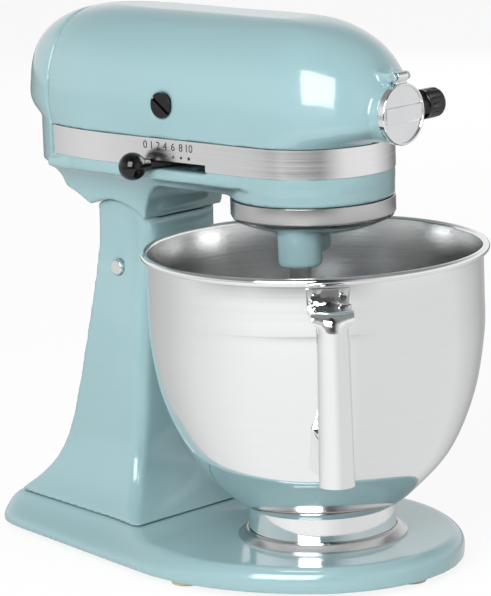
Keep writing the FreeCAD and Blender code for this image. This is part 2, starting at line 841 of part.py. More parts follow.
def make_head():
    front_side = box(-clear_span, clear_span, -clear_span, cover_split, 0, clear_span)
    rear_side = box(-clear_span, clear_span, cover_split + seat_gap, clear_span, 0, clear_span)
    upper = upper_form()
    lower = lower_form()
    bays = motor_bay().fuse(gear_bay())
    pocket = lever_pocket()
    bore_length = gear_bay_floor - drum_bottom + 2 * bore_margin
    bore_start = V(0, 0, drum_bottom - bore_margin)
    shaft_bore = cylinder(drive_shaft_radius + running_gap, bore_length, bore_start, AXIS_Z)
    band_ring = band_blank(0)
    case = lower.common(front_side).cut(band_ring).cut(bays).cut(pocket).cut(mirrored(pocket)).cut(shaft_bore)
    worm_seat = worm_shaft_place(gear_bay_floor - worm_seat_depth)
    case = case.cut(cylinder(worm_shaft_radius + running_gap, worm_seat_depth, worm_seat, AXIS_Z))
    for side in (-1, 1):
        post = cylinder(lever_pivot_radius, lever_pivot_height, lever_post_place(side), AXIS_Z)
        case = case.fuse(post)
    case = case.fuse(tongue())
    gland = make_gland()
    case = case.cut(gland).removeSplitter()
    housing = upper.common(front_side).fuse(hub_boss()).fuse(hub_ears().cut(upper)).removeSplitter()
    housing = housing.cut(bays).cut(hub_hole(hub_sleeve_radius))
    housing = housing.cut(hub_gear_space())
    face_at = V(hub_knob_start - hub_knob_gap, hub_knob_y, hub_z)
    spot_face = cylinder(hub_knob_radius + hub_knob_gap, clear_span, face_at, AXIS_X)
    housing = housing.cut(hub_screw_hole()).cut(spot_face)
    tab_half = hub_hinge_half_width - hub_ear_width
    tab_room = cylinder(hub_knuckle_radius + open_gap, 2 * tab_half, hub_hinge_place(-tab_half), AXIS_X)
    housing = housing.cut(tab_room)
    whole = upper.fuse(rail_form(0, rail_bottom, band_top)).removeSplitter()
    cover = whole.common(rear_side).cut(motor_bay())
    caps = []
    for turn in (False, True):
        cap = brush_axis(brush_cap_radius, brush_cap_start(), brush_cap_height + brush_cap_proud)
        slot = box(-clear_span, brush_slot_depth - brush_cap_seat, brush_y - brush_slot_half,
                   brush_y + brush_slot_half, 0, clear_span)
        hole = brush_axis(brush_tube_radius, brush_hole_start, clear_span)
        seat = brush_axis(brush_cap_radius, brush_cap_start(), clear_span)
        cap = cap.cut(slot)
        if turn:
            cap, hole, seat = mirrored(cap), mirrored(hole), mirrored(seat)
        housing = housing.cut(hole).cut(seat)
        caps.append(cap)
    save("gear_case", case)
    save("motor_housing", housing)
    save("rear_cover", cover)
    save("brush_caps", Part.Compound(caps))
    save("cord_gland", gland)
    save("trim_band", make_band(pocket))


def band_blank(proud):
    ring = rail_form(-proud, band_bottom, band_top)
    ring = ring.cut(rail_form(band_depth, band_bottom, band_top))
    return ring.common(box(-clear_span, clear_span, -clear_span, band_rear, 0, clear_span))


def make_band(pocket):
    return band_blank(band_proud).cut(pocket).cut(mirrored(pocket))


def lever_post_place(side):
    return V(side * lever_pivot_x, lever_pivot_y, gear_bay_floor)


def make_gland():
    slope = V(0, neck_rear_top - column_rear_top, rail_bottom - neck_rear_foot)
    outward = V(0, slope.z, -slope.y)
    outward.normalize()
    middle = V(gland_x, (neck_rear_top + column_rear_top) / 2, (rail_bottom + neck_rear_foot) / 2)
    return cylinder(gland_radius, gland_length, middle - outward * (gland_length - gland_proud), outward)


def hub_gear_space():
    length = 2 * hub_gear_length
    return cylinder(hub_gear_radius + hub_gear_room, length, V(0, hub_gear_y - hub_gear_lead, hub_z), AXIS_Y)


def make_hub():
    sleeve = hub_hole(hub_sleeve_radius).cut(hub_hole(hub_bore_radius))
    sleeve = sleeve.cut(hub_screw_hole())
    face = hub_face - seat_gap
    cover = cylinder(hub_cover_radius, hub_cover_thickness, V(0, face, hub_z), -AXIS_Y)
    front = face - hub_cover_thickness
    dish = cylinder(hub_cover_radius - hub_cover_rim, hub_dish_depth, V(0, front, hub_z), AXIS_Y)
    bar_half = hub_cover_radius - hub_bar_inset
    bar = box(-bar_half, bar_half, front, face - hub_bar_root, hub_z - hub_bar_half_height,
              hub_z + hub_bar_half_height)
    front_edges = [e for e in cover.Edges if e.Closed and e.CenterOfMass.y < face - hub_cover_thickness / 2]
    cover = cover.makeFillet(hub_cover_round, front_edges).cut(dish).fuse(bar)
    tab_half = hub_hinge_half_width - hub_ear_width - seat_gap
    spot = hub_hinge_place(-tab_half)
    knuckle = cylinder(hub_knuckle_radius, 2 * tab_half, spot, AXIS_X)
    web_low = hub_z + hub_cover_radius - hub_web_overlap
    web = box(-tab_half, tab_half, spot.y - hub_web_half, face, web_low, spot.z)
    pin_bore = cylinder(hub_hinge_radius + running_gap, 2 * clear_span, hub_hinge_place(-clear_span), AXIS_X)
    cover = cover.fuse(knuckle).fuse(web).cut(pin_bore).removeSplitter()
    stem_start = hub_bore_radius + hub_screw_gap
    stem_length = hub_knob_start - stem_start + hub_screw_grip
    stem = cylinder(hub_screw_radius, stem_length, V(stem_start, hub_knob_y, hub_z), AXIS_X)
    grip = cylinder(hub_knob_radius, hub_knob_length, V(hub_knob_start, hub_knob_y, hub_z), AXIS_X)
    waist_at = V(hub_knob_start + hub_waist_place, hub_knob_y, hub_z)
    waist = Part.makeTorus(hub_knob_radius + hub_waist_offset, hub_waist_radius, waist_at, AXIS_X)
    grip = grip.cut(waist)
    end = [e for e in grip.Edges if e.Closed and e.CenterOfMass.x > hub_knob_start + hub_knob_length - 1]
    grip = grip.makeFillet(hub_knob_round, end)
    for step in range(hub_knob_flutes):
        turn = math.radians(360 * step / hub_knob_flutes)
        reach = hub_knob_radius + hub_flute_radius - hub_flute_depth
        spot = V(hub_knob_start + hub_flute_start, hub_knob_y, hub_z)
        spot += V(0, reach * math.cos(turn), reach * math.sin(turn))
        grip = grip.cut(cylinder(hub_flute_radius, hub_knob_length, spot, AXIS_X))
    shaft_length = hub_gear_length + hub_gear_shaft_front + hub_gear_shaft_rear
    shaft_at = V(0, hub_gear_y - hub_gear_shaft_front, hub_z)
    gear_shaft = cylinder(hub_bore_radius - hub_gear_shaft_gap, shaft_length, shaft_at, AXIS_Y)
    gear = Part.makeCone(hub_gear_radius, hub_gear_radius - hub_gear_taper, hub_gear_length,
                         V(0, hub_gear_y, hub_z), AXIS_Y)
    socket = box(-hub_socket_half, hub_socket_half,
                 hub_gear_y - hub_socket_front, hub_gear_y + hub_socket_rear,
                 hub_z - hub_socket_half, hub_z + hub_socket_half)
    save("hub_sleeve", sleeve)
    save("hub_hinge_pin", hub_pin())
    save("hub_cover", cover)
    save("attachment_knob", stem.fuse(grip).removeSplitter())
    save("hub_drive_gear", gear.fuse(gear_shaft).cut(socket).removeSplitter())


# Gears with straight flanks and running backlash


def gear_outline(teeth, module, outward, z):
    """Toothed outline; teeth point outwards, or inwards for a ring."""
    pitch_radius = teeth * module / 2
    tip = pitch_radius + outward * tooth_tip * module
    root = pitch_radius - outward * tooth_root * module
    pitch = 360.0 / teeth
    points = []
    for tooth in range(teeth):
        middle = tooth * pitch
        points.append(polar(root, middle - tooth_root_half * pitch, z))
        points.append(polar(tip, middle - tooth_tip_half * pitch, z))
        points.append(polar(tip, middle + tooth_tip_half * pitch, z))
        points.append(polar(root, middle + tooth_root_half * pitch, z))
    return polygon_face(points)


def spur_gear(teeth, module, z, height):
    return gear_outline(teeth, module, 1, z).extrude(V(0, 0, height))


def planet_place(z):
    return polar(shaft_offset, shaft_rest_angle, z)


def worm_shaft_place(z):
    reach = gear_module * (drive_gear_teeth + drive_pinion_teeth) / 2
    return V(worm_wheel_x, math.sqrt(reach ** 2 - worm_wheel_x ** 2), z)


def meshed(gear, teeth, mate_teeth, place, ring=False):
    """Turn a gear on its own axis so that it meshes with its mate on the bowl axis, then place it."""
    bearing = math.degrees(math.atan2(place.y, place.x))
    if ring:
        turn = bearing - (bearing * mate_teeth / 360.0 % 1) * 360.0 / teeth + 180.0 / teeth
    else:
        turn = bearing + 180 + (bearing * mate_teeth / 360.0 % 1) * 360.0 / teeth + 180.0 / teeth
    gear.rotate(V(0, 0, 0), AXIS_Z, turn)
    gear.translate(V(place.x, place.y, 0))
    return gear


def make_drive():
    ring = cylinder(ring_outer_radius, drum_bottom - gear_bottom, V(0, 0, gear_bottom), AXIS_Z)
    teeth = gear_outline(ring_teeth, gear_module, -1, gear_bottom).extrude(V(0, 0, drum_bottom - gear_bottom))
    save("ring_gear", ring.cut(teeth))
    place = planet_place(0)
    pinion = spur_gear(pinion_teeth, gear_module, gear_bottom, gear_height)
    pinion = meshed(pinion, pinion_teeth, ring_teeth, place, ring=True)
    shaft = cylinder(beater_radius, beater_top - beater_bottom, planet_place(beater_bottom), AXIS_Z)
    journal_length = beater_top - beater_nose_top
    journal = cylinder(beater_journal_radius, journal_length, planet_place(beater_nose_top), AXIS_Z)
    low_edge = [e for e in shaft.Edges if e.Closed and e.CenterOfMass.z < beater_bottom + 1]
    shaft = shaft.makeChamfer(beater_chamfer, low_edge).fuse(journal).removeSplitter()
    cross_start = planet_place(cross_pin_z) - AXIS_X * (cross_pin_length / 2)
    cross = cylinder(cross_pin_radius, cross_pin_length, cross_start, AXIS_X)
    save("planet_pinion", pinion.cut(shaft))
    save("beater_shaft", shaft.cut(cross))
    save("cross_pin", cross)
    dish = turned([
        (0, dish_bottom), (dish_floor_radius - dish_flat_margin, dish_bottom),
        (dish_floor_radius, dish_bottom + dish_floor_rise),
        (dish_radius, dish_top - dish_rim), (dish_radius, dish_top), (0, dish_top),
    ])
    leg = cylinder(leg_radius, dish_top - leg_bottom, planet_place(leg_bottom), AXIS_Z)
    web = box(0, shaft_offset, -leg_web_width / 2, leg_web_width / 2, leg_bottom + leg_web_rise, dish_top)
    web.rotate(V(0, 0, 0), AXIS_Z, shaft_rest_angle)
    leg_edge = [e for e in leg.Edges if e.Closed and e.CenterOfMass.z < leg_bottom + 1]
    leg = leg.makeFillet(leg_round, leg_edge)
    boss_gap = drum_bottom - seat_gap - dish_top
    boss = cylinder(drive_shaft_radius + drive_boss_wall, boss_gap, V(0, 0, dish_top), AXIS_Z)
    planetary = dish.fuse(leg).fuse(web).fuse(boss).removeSplitter()
    bore_start = planet_place(leg_bottom - bore_margin)
    bore = cylinder(beater_journal_radius + running_gap, clear_span, bore_start, AXIS_Z)
    shaft_start = dish_top - drive_shaft_root
    shaft_length = drive_gear_z + drive_gear_height - shaft_start
    drive_shaft = cylinder(drive_shaft_radius, shaft_length, V(0, 0, shaft_start), AXIS_Z)
    save("planetary_housing", planetary.cut(bore).cut(drive_shaft))
    save("planetary_shaft", drive_shaft)
    drive_gear = spur_gear(drive_gear_teeth, gear_module, drive_gear_z, drive_gear_height)
    save("drive_gear", drive_gear.cut(drive_shaft))
    low = drum_bottom - drip_height
    drip = turned([
        (drum_radius - drip_wall, drum_bottom), (drum_radius, drum_bottom),
        (drum_radius, low + drip_edge_rise),
        (drum_radius - drip_wall, low + drip_edge_low), (drum_radius - drip_edge_reach, low),
        (drip_lip_radius, low - drip_lip_drop), (drip_lip_radius, low + drip_lip_rise),
        (drum_radius - drip_wall, low + drip_floor_rise),
    ])
    save("drip_ring", drip)


def make_motor():
    axis_point = V(0, 0, motor_axis_z)
    bay = motor_bay()
    stator = tube(stator_radius, stator_bore, stator_length, axis_point + V(0, stator_front, 0), AXIS_Y)
    for side in (-1, 1):
        notch_at = axis_point + V(0, stator_front, side * (stator_bore + stator_notch_offset))
        notch = cylinder(stator_notch_radius, stator_length, notch_at, AXIS_Y)
        stator = stator.cut(notch)
    shaft = cylinder(motor_shaft_radius, motor_shaft_rear - motor_shaft_front,
                     axis_point + V(0, motor_shaft_front, 0), AXIS_Y)
    worm_y = worm_shaft_place(0).y - worm_length / 2
    worm = cylinder(worm_radius, worm_length, axis_point + V(0, worm_y, 0), AXIS_Y)
    core = cylinder(armature_radius, stator_length - 2 * core_inset,
                    axis_point + V(0, stator_front + core_inset, 0), AXIS_Y)
    commutator = cylinder(commutator_radius, commutator_length,
                          axis_point + V(0, brush_y - commutator_length / 2, 0), AXIS_Y)
    fan = fan_wheel(axis_point)
    armature = shaft.fuse(worm).fuse(core).fuse(commutator).fuse(fan).removeSplitter()
    save("motor_stator", stator)
    save("armature", armature)
    bushes = []
    for name, y in (("front_bearing_plate", front_plate_y), ("rear_bearing_plate", rear_plate_y)):
        plate = cylinder(stator_radius, plate_thickness, axis_point + V(0, y, 0), AXIS_Y)
        plate = plate.cut(cylinder(bush_radius, plate_thickness, axis_point + V(0, y, 0), AXIS_Y))
        for hole in range(plate_holes):
            angle = math.radians(360 * (hole + 0.5) / plate_holes)
            spot = axis_point + V(plate_hole_circle * math.cos(angle), y, plate_hole_circle * math.sin(angle))
            plate = plate.cut(cylinder(plate_hole_radius, plate_thickness, spot, AXIS_Y))
        if y == front_plate_y:
            plate = plate.common(bay).cut(lever_clearance())
            wheel_foot = worm_shaft_place(gear_bay_floor)
            wheel_room = cylinder(worm_wheel_reach(), worm_room_height, wheel_foot, AXIS_Z)
            plate = plate.cut(wheel_room)
        save(name, plate)
        bush_at = axis_point + V(0, y - (bush_length - plate_thickness) / 2, 0)
        bushes.append(tube(bush_radius, motor_shaft_radius + running_gap, bush_length, bush_at, AXIS_Y))
    save("motor_bushes", Part.Compound(bushes))
    control = cylinder(stator_radius, control_plate_thickness, axis_point + V(0, control_plate_y, 0), AXIS_Y)
    save("control_plate", control)
    holders = []
    brushes = []
    for turn in (False, True):
        start = commutator_radius + brush_tube_gap
        holder = brush_axis(brush_tube_radius, start, brush_cap_start() - start)
        bore = brush_axis(brush_half_size + brush_play, start, brush_cap_start() - start)
        brush = brush_axis(brush_half_size, commutator_radius + brush_gap, brush_length)
        holder = holder.cut(bore)
        if turn:
            holder, brush = mirrored(holder), mirrored(brush)
        holders.append(holder)
        brushes.append(brush)
    save("brush_holders", Part.Compound(holders))
    save("carbon_brushes", Part.Compound(brushes))
    make_worm_wheel()


def lever_clearance():
    front = lever_pivot_y - lever_room_half_length
    rear = lever_pivot_y + lever_room_half_length
    return box(-clear_span, clear_span, front, rear, 0, lever_z + lever_pocket_height)


def worm_wheel_reach():
    return -worm_wheel_x - worm_radius - seat_gap


def make_worm_wheel():
    place = worm_shaft_place(0)
    low = motor_axis_z - worm_wheel_height / 2
    pitch_module = 2 * (worm_wheel_reach() - worm_tooth_trim) / worm_wheel_teeth
    wheel = spur_gear(worm_wheel_teeth, pitch_module, low, worm_wheel_height)
    wheel = wheel.common(cylinder(worm_wheel_reach(), worm_wheel_height, V(0, 0, low), AXIS_Z))
    wheel.translate(place)
    pinion = spur_gear(drive_pinion_teeth, gear_module, drive_gear_z, drive_gear_height)
    pinion = meshed(pinion, drive_pinion_teeth, drive_gear_teeth, place)
    foot = gear_bay_floor - worm_shaft_foot
    spindle = cylinder(worm_shaft_radius, low + worm_wheel_height - foot, worm_shaft_place(foot), AXIS_Z)
    save("worm_wheel", wheel.cut(spindle))
    save("worm_pinion", pinion.cut(spindle))
    save("worm_spindle", spindle)


def fan_wheel(axis_point):
    hub = cylinder(fan_disc_radius, fan_disc_thickness, axis_point + V(0, fan_front, 0), AXIS_Y)
    blades = []
    for blade in range(fan_blades):
        vane = box(-fan_blade_half, fan_blade_half, fan_front, fan_front + fan_length,
                   motor_axis_z + fan_blade_root, motor_axis_z + fan_radius)
        vane.rotate(axis_point, AXIS_Y, 360 * blade / fan_blades)
        blades.append(vane)
    return hub.multiFuse(blades)


def ball_knob():
    """Ball with a short tapered neck, turned about its own upright axis."""
    join = V(lever_neck_radius, 0, -math.sqrt(lever_knob_radius ** 2 - lever_neck_radius ** 2))
    end = V(lever_neck_end_radius, 0, -lever_knob_radius - lever_neck_length)
    edges = [
        Part.Arc(join, V(lever_knob_radius, 0, 0), V(0, 0, lever_knob_radius)).toShape(),
        Part.LineSegment(V(0, 0, lever_knob_radius), V(0, 0, end.z)).toShape(),
        Part.LineSegment(V(0, 0, end.z), end).toShape(),
        Part.LineSegment(end, join).toShape(),
    ]
    return Part.Face(Part.Wire(edges)).revolve(V(0, 0, 0), AXIS_Z, 360)


def make_levers():
    for name, turn in (("speed", False), ("lock", True)):
        pivot = V(-lever_pivot_x, lever_pivot_y, lever_z - lever_thickness / 2)
        knob_at = V(-lever_knob_x, lever_knob_y, lever_z)
        along = V(knob_at.x - pivot.x, knob_at.y - pivot.y, 0)
        length = along.Length
        bar = box(0, length, -lever_width / 2, lever_width / 2, 0, lever_thickness)
        bar.rotate(V(0, 0, 0), AXIS_Z, math.degrees(math.atan2(along.y, along.x)))
        bar.translate(pivot)
        eye = cylinder(lever_pivot_radius + lever_eye_wall, lever_thickness, pivot, AXIS_Z)
        bore = cylinder(lever_pivot_radius + running_gap, lever_thickness, pivot, AXIS_Z)
        lever = bar.fuse(eye).cut(bore)
        knob = ball_knob()
        knob.rotate(V(0, 0, 0), AXIS_Y, 90)
        knob.rotate(V(0, 0, 0), AXIS_Z, math.degrees(math.atan2(along.y, along.x)))
        knob.translate(knob_at)
        lever = lever.cut(knob).removeSplitter()
        if turn:
            lever, knob = mirrored(lever), mirrored(knob)
        save(name + "_lever", lever)
        save(name + "_knob", knob)


# Bowl, its foot, handle and clamp plate


def bowl_solid(shrink, floor_z):
    """Filled bowl of revolution, drawn in by shrink."""
    wall = Part.BSplineCurve()
    corners = [
        V(bowl_floor_radius - shrink, 0, floor_z),
        V(bowl_turn_radius - shrink * 0.7, 0, bowl_turn_z + shrink * 0.7),
        V(bowl_belly_radius - shrink * 0.8, 0, bowl_belly_z + shrink * 0.6),
        V(bowl_side_radius - shrink, 0, bowl_side_z),
        V(bowl_wall_radius - bowl_shoulder_ease - shrink, 0, bowl_shoulder_z),
        V(bowl_wall_radius - shrink, 0, bowl_straight_z),
        V(bowl_wall_radius - shrink, 0, bowl_rim_z),
    ]
    wall.interpolate(corners)
    edges = [
        wall.toShape(),
        Part.LineSegment(corners[-1], V(0, 0, bowl_rim_z)).toShape(),
        Part.LineSegment(V(0, 0, bowl_rim_z), V(0, 0, floor_z)).toShape(),
        Part.LineSegment(V(0, 0, floor_z), corners[0]).toShape(),
    ]
    return Part.Face(Part.Wire(edges)).revolve(V(0, 0, 0), AXIS_Z, 360)


def handle_rows(depth):
    """Rows of points across the handle's bent sheet, bowl to grip's end, depth under its outside."""
    bend_x = handle_reach - handle_bend
    bend_z = handle_top_z - handle_bend
    root = bowl_wall_radius + handle_wall / 2
    stations = []
    for step in range(handle_arm_steps):
        stations.append((90, V(root + (bend_x - root) * step / handle_arm_steps, 0, handle_top_z), 0))
    for step in range(handle_bend_steps + 1):
        angle = 90 - 90 * step / handle_bend_steps
        turn = math.radians(angle)
        crown = V(bend_x + handle_bend * math.cos(turn), 0, bend_z + handle_bend * math.sin(turn))
        stations.append((angle, crown, 0))
    for step in range(1, handle_grip_steps + 1):
        share = step / handle_grip_steps
        level = bend_z + (handle_bottom_z - bend_z) * share
        stations.append((0, V(handle_reach - handle_lean * share, 0, level), share))
    return [handle_row(angle, crown, share, depth) for angle, crown, share in stations]


def handle_row(angle, crown, share, depth):
    """One row: flat on the arm, crowned more and more round the elbow and down the grip."""
    turn = math.radians(angle)
    outward = V(math.cos(turn), 0, math.sin(turn))
    bent = 1 - angle / 90
    width = handle_arm_width + (handle_top_width - handle_arm_width) * bent ** 2
    width += (handle_bottom_width - handle_top_width) * share
    rise = handle_arm_rise + (handle_rise - handle_arm_rise) * bent
    half = width / 2
    radius = (half ** 2 + rise ** 2) / (2 * rise)
    spread = math.asin(half / radius)
    row = []
    for step in range(-handle_half_points, handle_half_points + 1):
        lean = spread * step / handle_half_points
        level = radius - depth
        row.append(crown + outward * (level * math.cos(lean) - radius) + AXIS_Y * level * math.sin(lean))
    return row


def handle_form(depth):
    """Arm out from the bowl, a rounded elbow and a grip that widens downwards, as one bent sheet."""
    faces = []
    for level in (0, depth):
        surface = Part.BSplineSurface()
        surface.interpolate(handle_rows(level))
        faces.append(surface.toShape())
    edges = list(zip(faces[0].Edges, faces[1].Edges))
    sides = [Part.makeRuledSurface(outer, inner) for outer, inner in edges]
    shell = Part.makeShell(faces + sides)
    shell.sewShape()
    solid = Part.makeSolid(shell)
    if solid.Volume < 0:
        solid.reverse()
    return solid


def stay_form(inset):
    """Lower bracket: wide on the bowl, drawn in to the back of the grip."""
    faces = []
    for x, width, low, high in (
        (bowl_belly_radius, stay_width, stay_low, stay_high),
        (handle_reach, stay_grip_width, stay_low + stay_taper, stay_high - stay_taper),
    ):
        half = width / 2 - inset
        low = low - inset * 2
        high = high - inset
        corners = [V(x, -half, low), V(x, half, low), V(x, half, high), V(x, -half, high)]
        faces.append(Part.makePolygon(corners + corners[:1]))
    return Part.makeLoft(faces, True, True)


def clamp_screw_set():
    """Four countersunk screws through the clamp plate's floor into the base."""
    screws = []
    for step in range(clamp_screws):
        spot = polar(clamp_screw_circle, 360 * (step + 0.5) / clamp_screws, base_top - clamp_screw_grip)
        shank = cylinder(clamp_screw_radius, clamp_floor + clamp_screw_grip, spot, AXIS_Z)
        head = Part.makeCone(clamp_screw_radius, 2 * clamp_screw_radius, clamp_screw_radius,
                             V(spot.x, spot.y, base_top + clamp_floor - clamp_screw_radius), AXIS_Z)
        screws.append(shank.fuse(head).removeSplitter())
    return screws


def make_bowl():
    outside = bowl_solid(0, bowl_floor_z)
    inside = bowl_solid(bowl_wall, bowl_floor_z + bowl_wall)
    lip = Part.makeTorus(bowl_rim_radius - bowl_lip_radius, bowl_lip_radius, V(0, 0, bowl_rim_z), AXIS_Z)
    shell = outside.cut(inside).fuse(lip).removeSplitter()
    bottom = base_top + clamp_floor
    foot_inner = foot_ring_radius - foot_ring_wall
    foot = tube(foot_ring_radius, foot_inner, foot_ring_top - bottom, V(0, 0, bottom), AXIS_Z).cut(outside)
    plate = turned([
        (0, base_top), (clamp_radius, base_top), (clamp_radius, base_top + clamp_edge),
        (clamp_radius - clamp_shoulder, clamp_top - clamp_dome),
        (clamp_inner_radius + clamp_rim, clamp_top), (clamp_inner_radius, clamp_top),
        (clamp_inner_radius, bottom), (0, bottom),
    ])
    screws = clamp_screw_set()
    for screw in screws:
        plate = plate.cut(screw)
    stay = stay_form(0).cut(stay_form(handle_wall))
    stay_end = handle_reach - handle_lean - stay_end_depth
    behind = box(0, stay_end, -stay_width, stay_width, 0, handle_top_z)
    stay = stay.common(behind)
    bracket = tube(bowl_wall_radius + handle_wall, bowl_wall_radius, bracket_height,
                   V(0, 0, bracket_top_z - bracket_height), AXIS_Z)
    bracket_half = bracket_width / 2
    bracket = bracket.common(box(bowl_belly_radius, handle_reach, -bracket_half, bracket_half, 0, bowl_rim_z))
    handle = handle_form(handle_wall).fuse(stay).fuse(bracket)
    rivets = []
    for side in (-1, 1):
        spot = V(bowl_wall_radius - rivet_root, side * rivet_spread, bracket_top_z - rivet_drop)
        rivet = cylinder(rivet_radius, rivet_length, spot, AXIS_X)
        rivets.append(rivet.cut(inside))
    for rivet in rivets:
        handle = handle.cut(rivet)
    handle = handle.cut(outside)
    turn = Part.Compound([handle] + rivets)
    turn.rotate(V(0, 0, 0), AXIS_Z, handle_angle)
    handle, rivet_a, rivet_b = turn.SubShapes
    shell = shell.cut(rivet_a).cut(rivet_b)
    save("bowl_shell", shell)
    save("bowl_foot", foot)
    save("bowl_handle", handle)
    save("handle_rivets", Part.Compound([rivet_a, rivet_b]))
    save("bowl_clamp_plate", plate)
    save("clamp_screws", Part.Compound(screws))


if __name__ == "__main__":
    make_stand()
    make_head()
    make_hub()
    make_drive()
    make_motor()
    make_levers()
    make_bowl()
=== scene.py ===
import math

import bmesh
import bpy
from bpy.props import FloatProperty, FloatVectorProperty, PointerProperty
from mathutils import Matrix, Vector
from mathutils.bvhtree import BVHTree
from mathutils.geometry import interpolate_bezier


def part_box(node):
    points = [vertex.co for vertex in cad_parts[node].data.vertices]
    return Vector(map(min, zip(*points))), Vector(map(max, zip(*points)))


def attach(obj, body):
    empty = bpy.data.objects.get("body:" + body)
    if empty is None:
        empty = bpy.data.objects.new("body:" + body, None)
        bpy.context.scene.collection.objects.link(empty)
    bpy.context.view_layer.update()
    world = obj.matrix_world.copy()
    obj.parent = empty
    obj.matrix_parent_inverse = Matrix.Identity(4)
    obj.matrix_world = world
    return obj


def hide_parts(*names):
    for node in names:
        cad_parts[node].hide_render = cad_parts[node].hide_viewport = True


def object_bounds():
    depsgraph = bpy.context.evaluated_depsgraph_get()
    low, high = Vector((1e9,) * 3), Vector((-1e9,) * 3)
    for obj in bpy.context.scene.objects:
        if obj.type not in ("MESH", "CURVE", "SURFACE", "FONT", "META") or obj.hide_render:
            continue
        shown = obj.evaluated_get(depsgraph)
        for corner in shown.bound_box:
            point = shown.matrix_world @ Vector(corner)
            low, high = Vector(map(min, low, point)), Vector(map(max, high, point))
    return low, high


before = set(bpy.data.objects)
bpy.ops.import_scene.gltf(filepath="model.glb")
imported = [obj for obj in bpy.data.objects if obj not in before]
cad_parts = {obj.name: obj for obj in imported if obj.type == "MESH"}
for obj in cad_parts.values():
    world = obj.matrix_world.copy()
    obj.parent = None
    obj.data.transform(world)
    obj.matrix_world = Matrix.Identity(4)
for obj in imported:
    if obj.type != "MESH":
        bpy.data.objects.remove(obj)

bl_info = {
    "name": "Tilt-head stand mixer",
    "version": (1, 0, 0),
    "blender": (4, 5, 0),
    "location": "View3D > Sidebar > Mixer",
    "description": "Dresses the mixer's castings, bowl, drive and trim for a studio picture",
    "category": "Object",
}

CAD_BOX = [list(corner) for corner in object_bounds()]
BOWL_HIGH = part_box("bowl_shell")[1]

# Bowl, in metres: its rolled lip, then radius and height of its outside with the wall's share inward
# and upward for its inside, then how far its straight side stands in at each height
LIP_RADIUS = 0.0025
LIP_REACH = 0.004
LIP_TURN = (-127, 170)
BOWL_FLOOR = 0.040
BOWL_CURVE = (
    (0.047, BOWL_FLOOR, 1.0, 1.0), (0.060, 0.0495, 0.7, 0.7),
    (0.084, 0.076, 0.8, 0.6), (0.0995, 0.112, 1.0, 0.0),
)
BOWL_SIDE = ((0.0006, 0.150), (0.0, 0.175))

# Speed scale: numeral, place along the band and radius of its dot, in metres
SPEED_MARKS = (
    ("0", 0.0914, 0.0), ("1", 0.0860, 0.0002), ("2", 0.0804, 0.0005), ("4", 0.0745, 0.0006),
    ("6", 0.0678, 0.0008), ("8", 0.0612, 0.0009), ("10", 0.0546, 0.0011),
)
NUMERAL_LEVEL = 0.2722
DOT_LEVEL = 0.2660
FONT_PER_NUMERAL = 1.36

# Skins: angle of a sharp edge in degrees, size of a casting's even mesh and passes that ease its edges
SHARP_EDGE = 35.0
CRISP_EDGE = 50.0
FLAT_ANGLE = 0.4
SKIN_GRAIN = 0.0014
FINE_GRAIN = 0.0009
SKIN_PASSES = 6

# Studio: share of a turn and grey level of what a reflection shows at that bearing
ROOM_TONES = {
    "Table": (
        (0.0, 0.93), (0.11, 0.93), (0.19, 0.72), (0.4, 0.75), (0.46, 0.6), (0.52, 0.4), (0.6, 0.5),
        (0.7, 0.47), (0.8, 0.6), (0.88, 0.78), (0.96, 0.9), (1.0, 0.93)),
    "Far Floor": (
        (0.0, 0.32), (0.04, 0.1), (0.08, 0.03), (0.15, 0.06), (0.2, 0.5), (0.24, 0.78), (0.37, 0.85),
        (0.44, 0.55), (0.52, 0.15), (0.7, 0.2), (0.78, 0.6), (0.86, 0.75), (0.91, 0.45),
        (0.96, 0.25), (1.0, 0.32)),
    "Walls": (
        (0.0, 0.6), (0.05, 0.3), (0.09, 0.08), (0.15, 0.08), (0.2, 0.6), (0.26, 0.95), (0.44, 0.95),
        (0.5, 0.9), (0.74, 0.9), (0.85, 0.95), (0.95, 0.75), (1.0, 0.6)),
}
FLOOR_HALF = 6.0
FLOOR_DROP = 0.0002
FLOOR_SEEN = 0.88
FLOOR_IN_GLOSS = 0.9
TABLE_EDGE = (1.06, 1.12)
WALL_FADE = (0.3, 0.65, 1.0, 0.3)
SOFT_RISE = (-0.1, 1.0, 0.2, 0.6)
# Lamp, place, aim, width, height, power and whether reflections show it
LIGHTS = (
    ("key_light", (-1.9, -0.7, 1.3), (0, 0.05, 0.2), 1.4, 1.6, 56.0, True),
    ("fill_light", (0.6, -2.2, 1.2), (0, 0, 0.2), 1.0, 1.6, 12.0, False),
    ("back_light", (1.9, 1.2, 0.8), (0, 0.1, 0.25), 1.2, 1.2, 8.0, False),
)
CAMERA_BEARING = (-47.5, 11.67)
CAMERA_NUDGE = (1.13, -0.12, -1.96)
CAMERA_AIM = (0, 0, 0.17)
CAMERA_DISTANCE = 2.31794
CAMERA_LENS = 220.32


def tint(red, green, blue):
    """A colour picked on screen, as the linear values that shaders take."""
    linear = []
    for value in (red, green, blue):
        share = value / 255
        linear.append(share / 12.92 if share <= 0.04045 else ((share + 0.055) / 1.055) ** 2.4)
    return (*linear, 1.0)


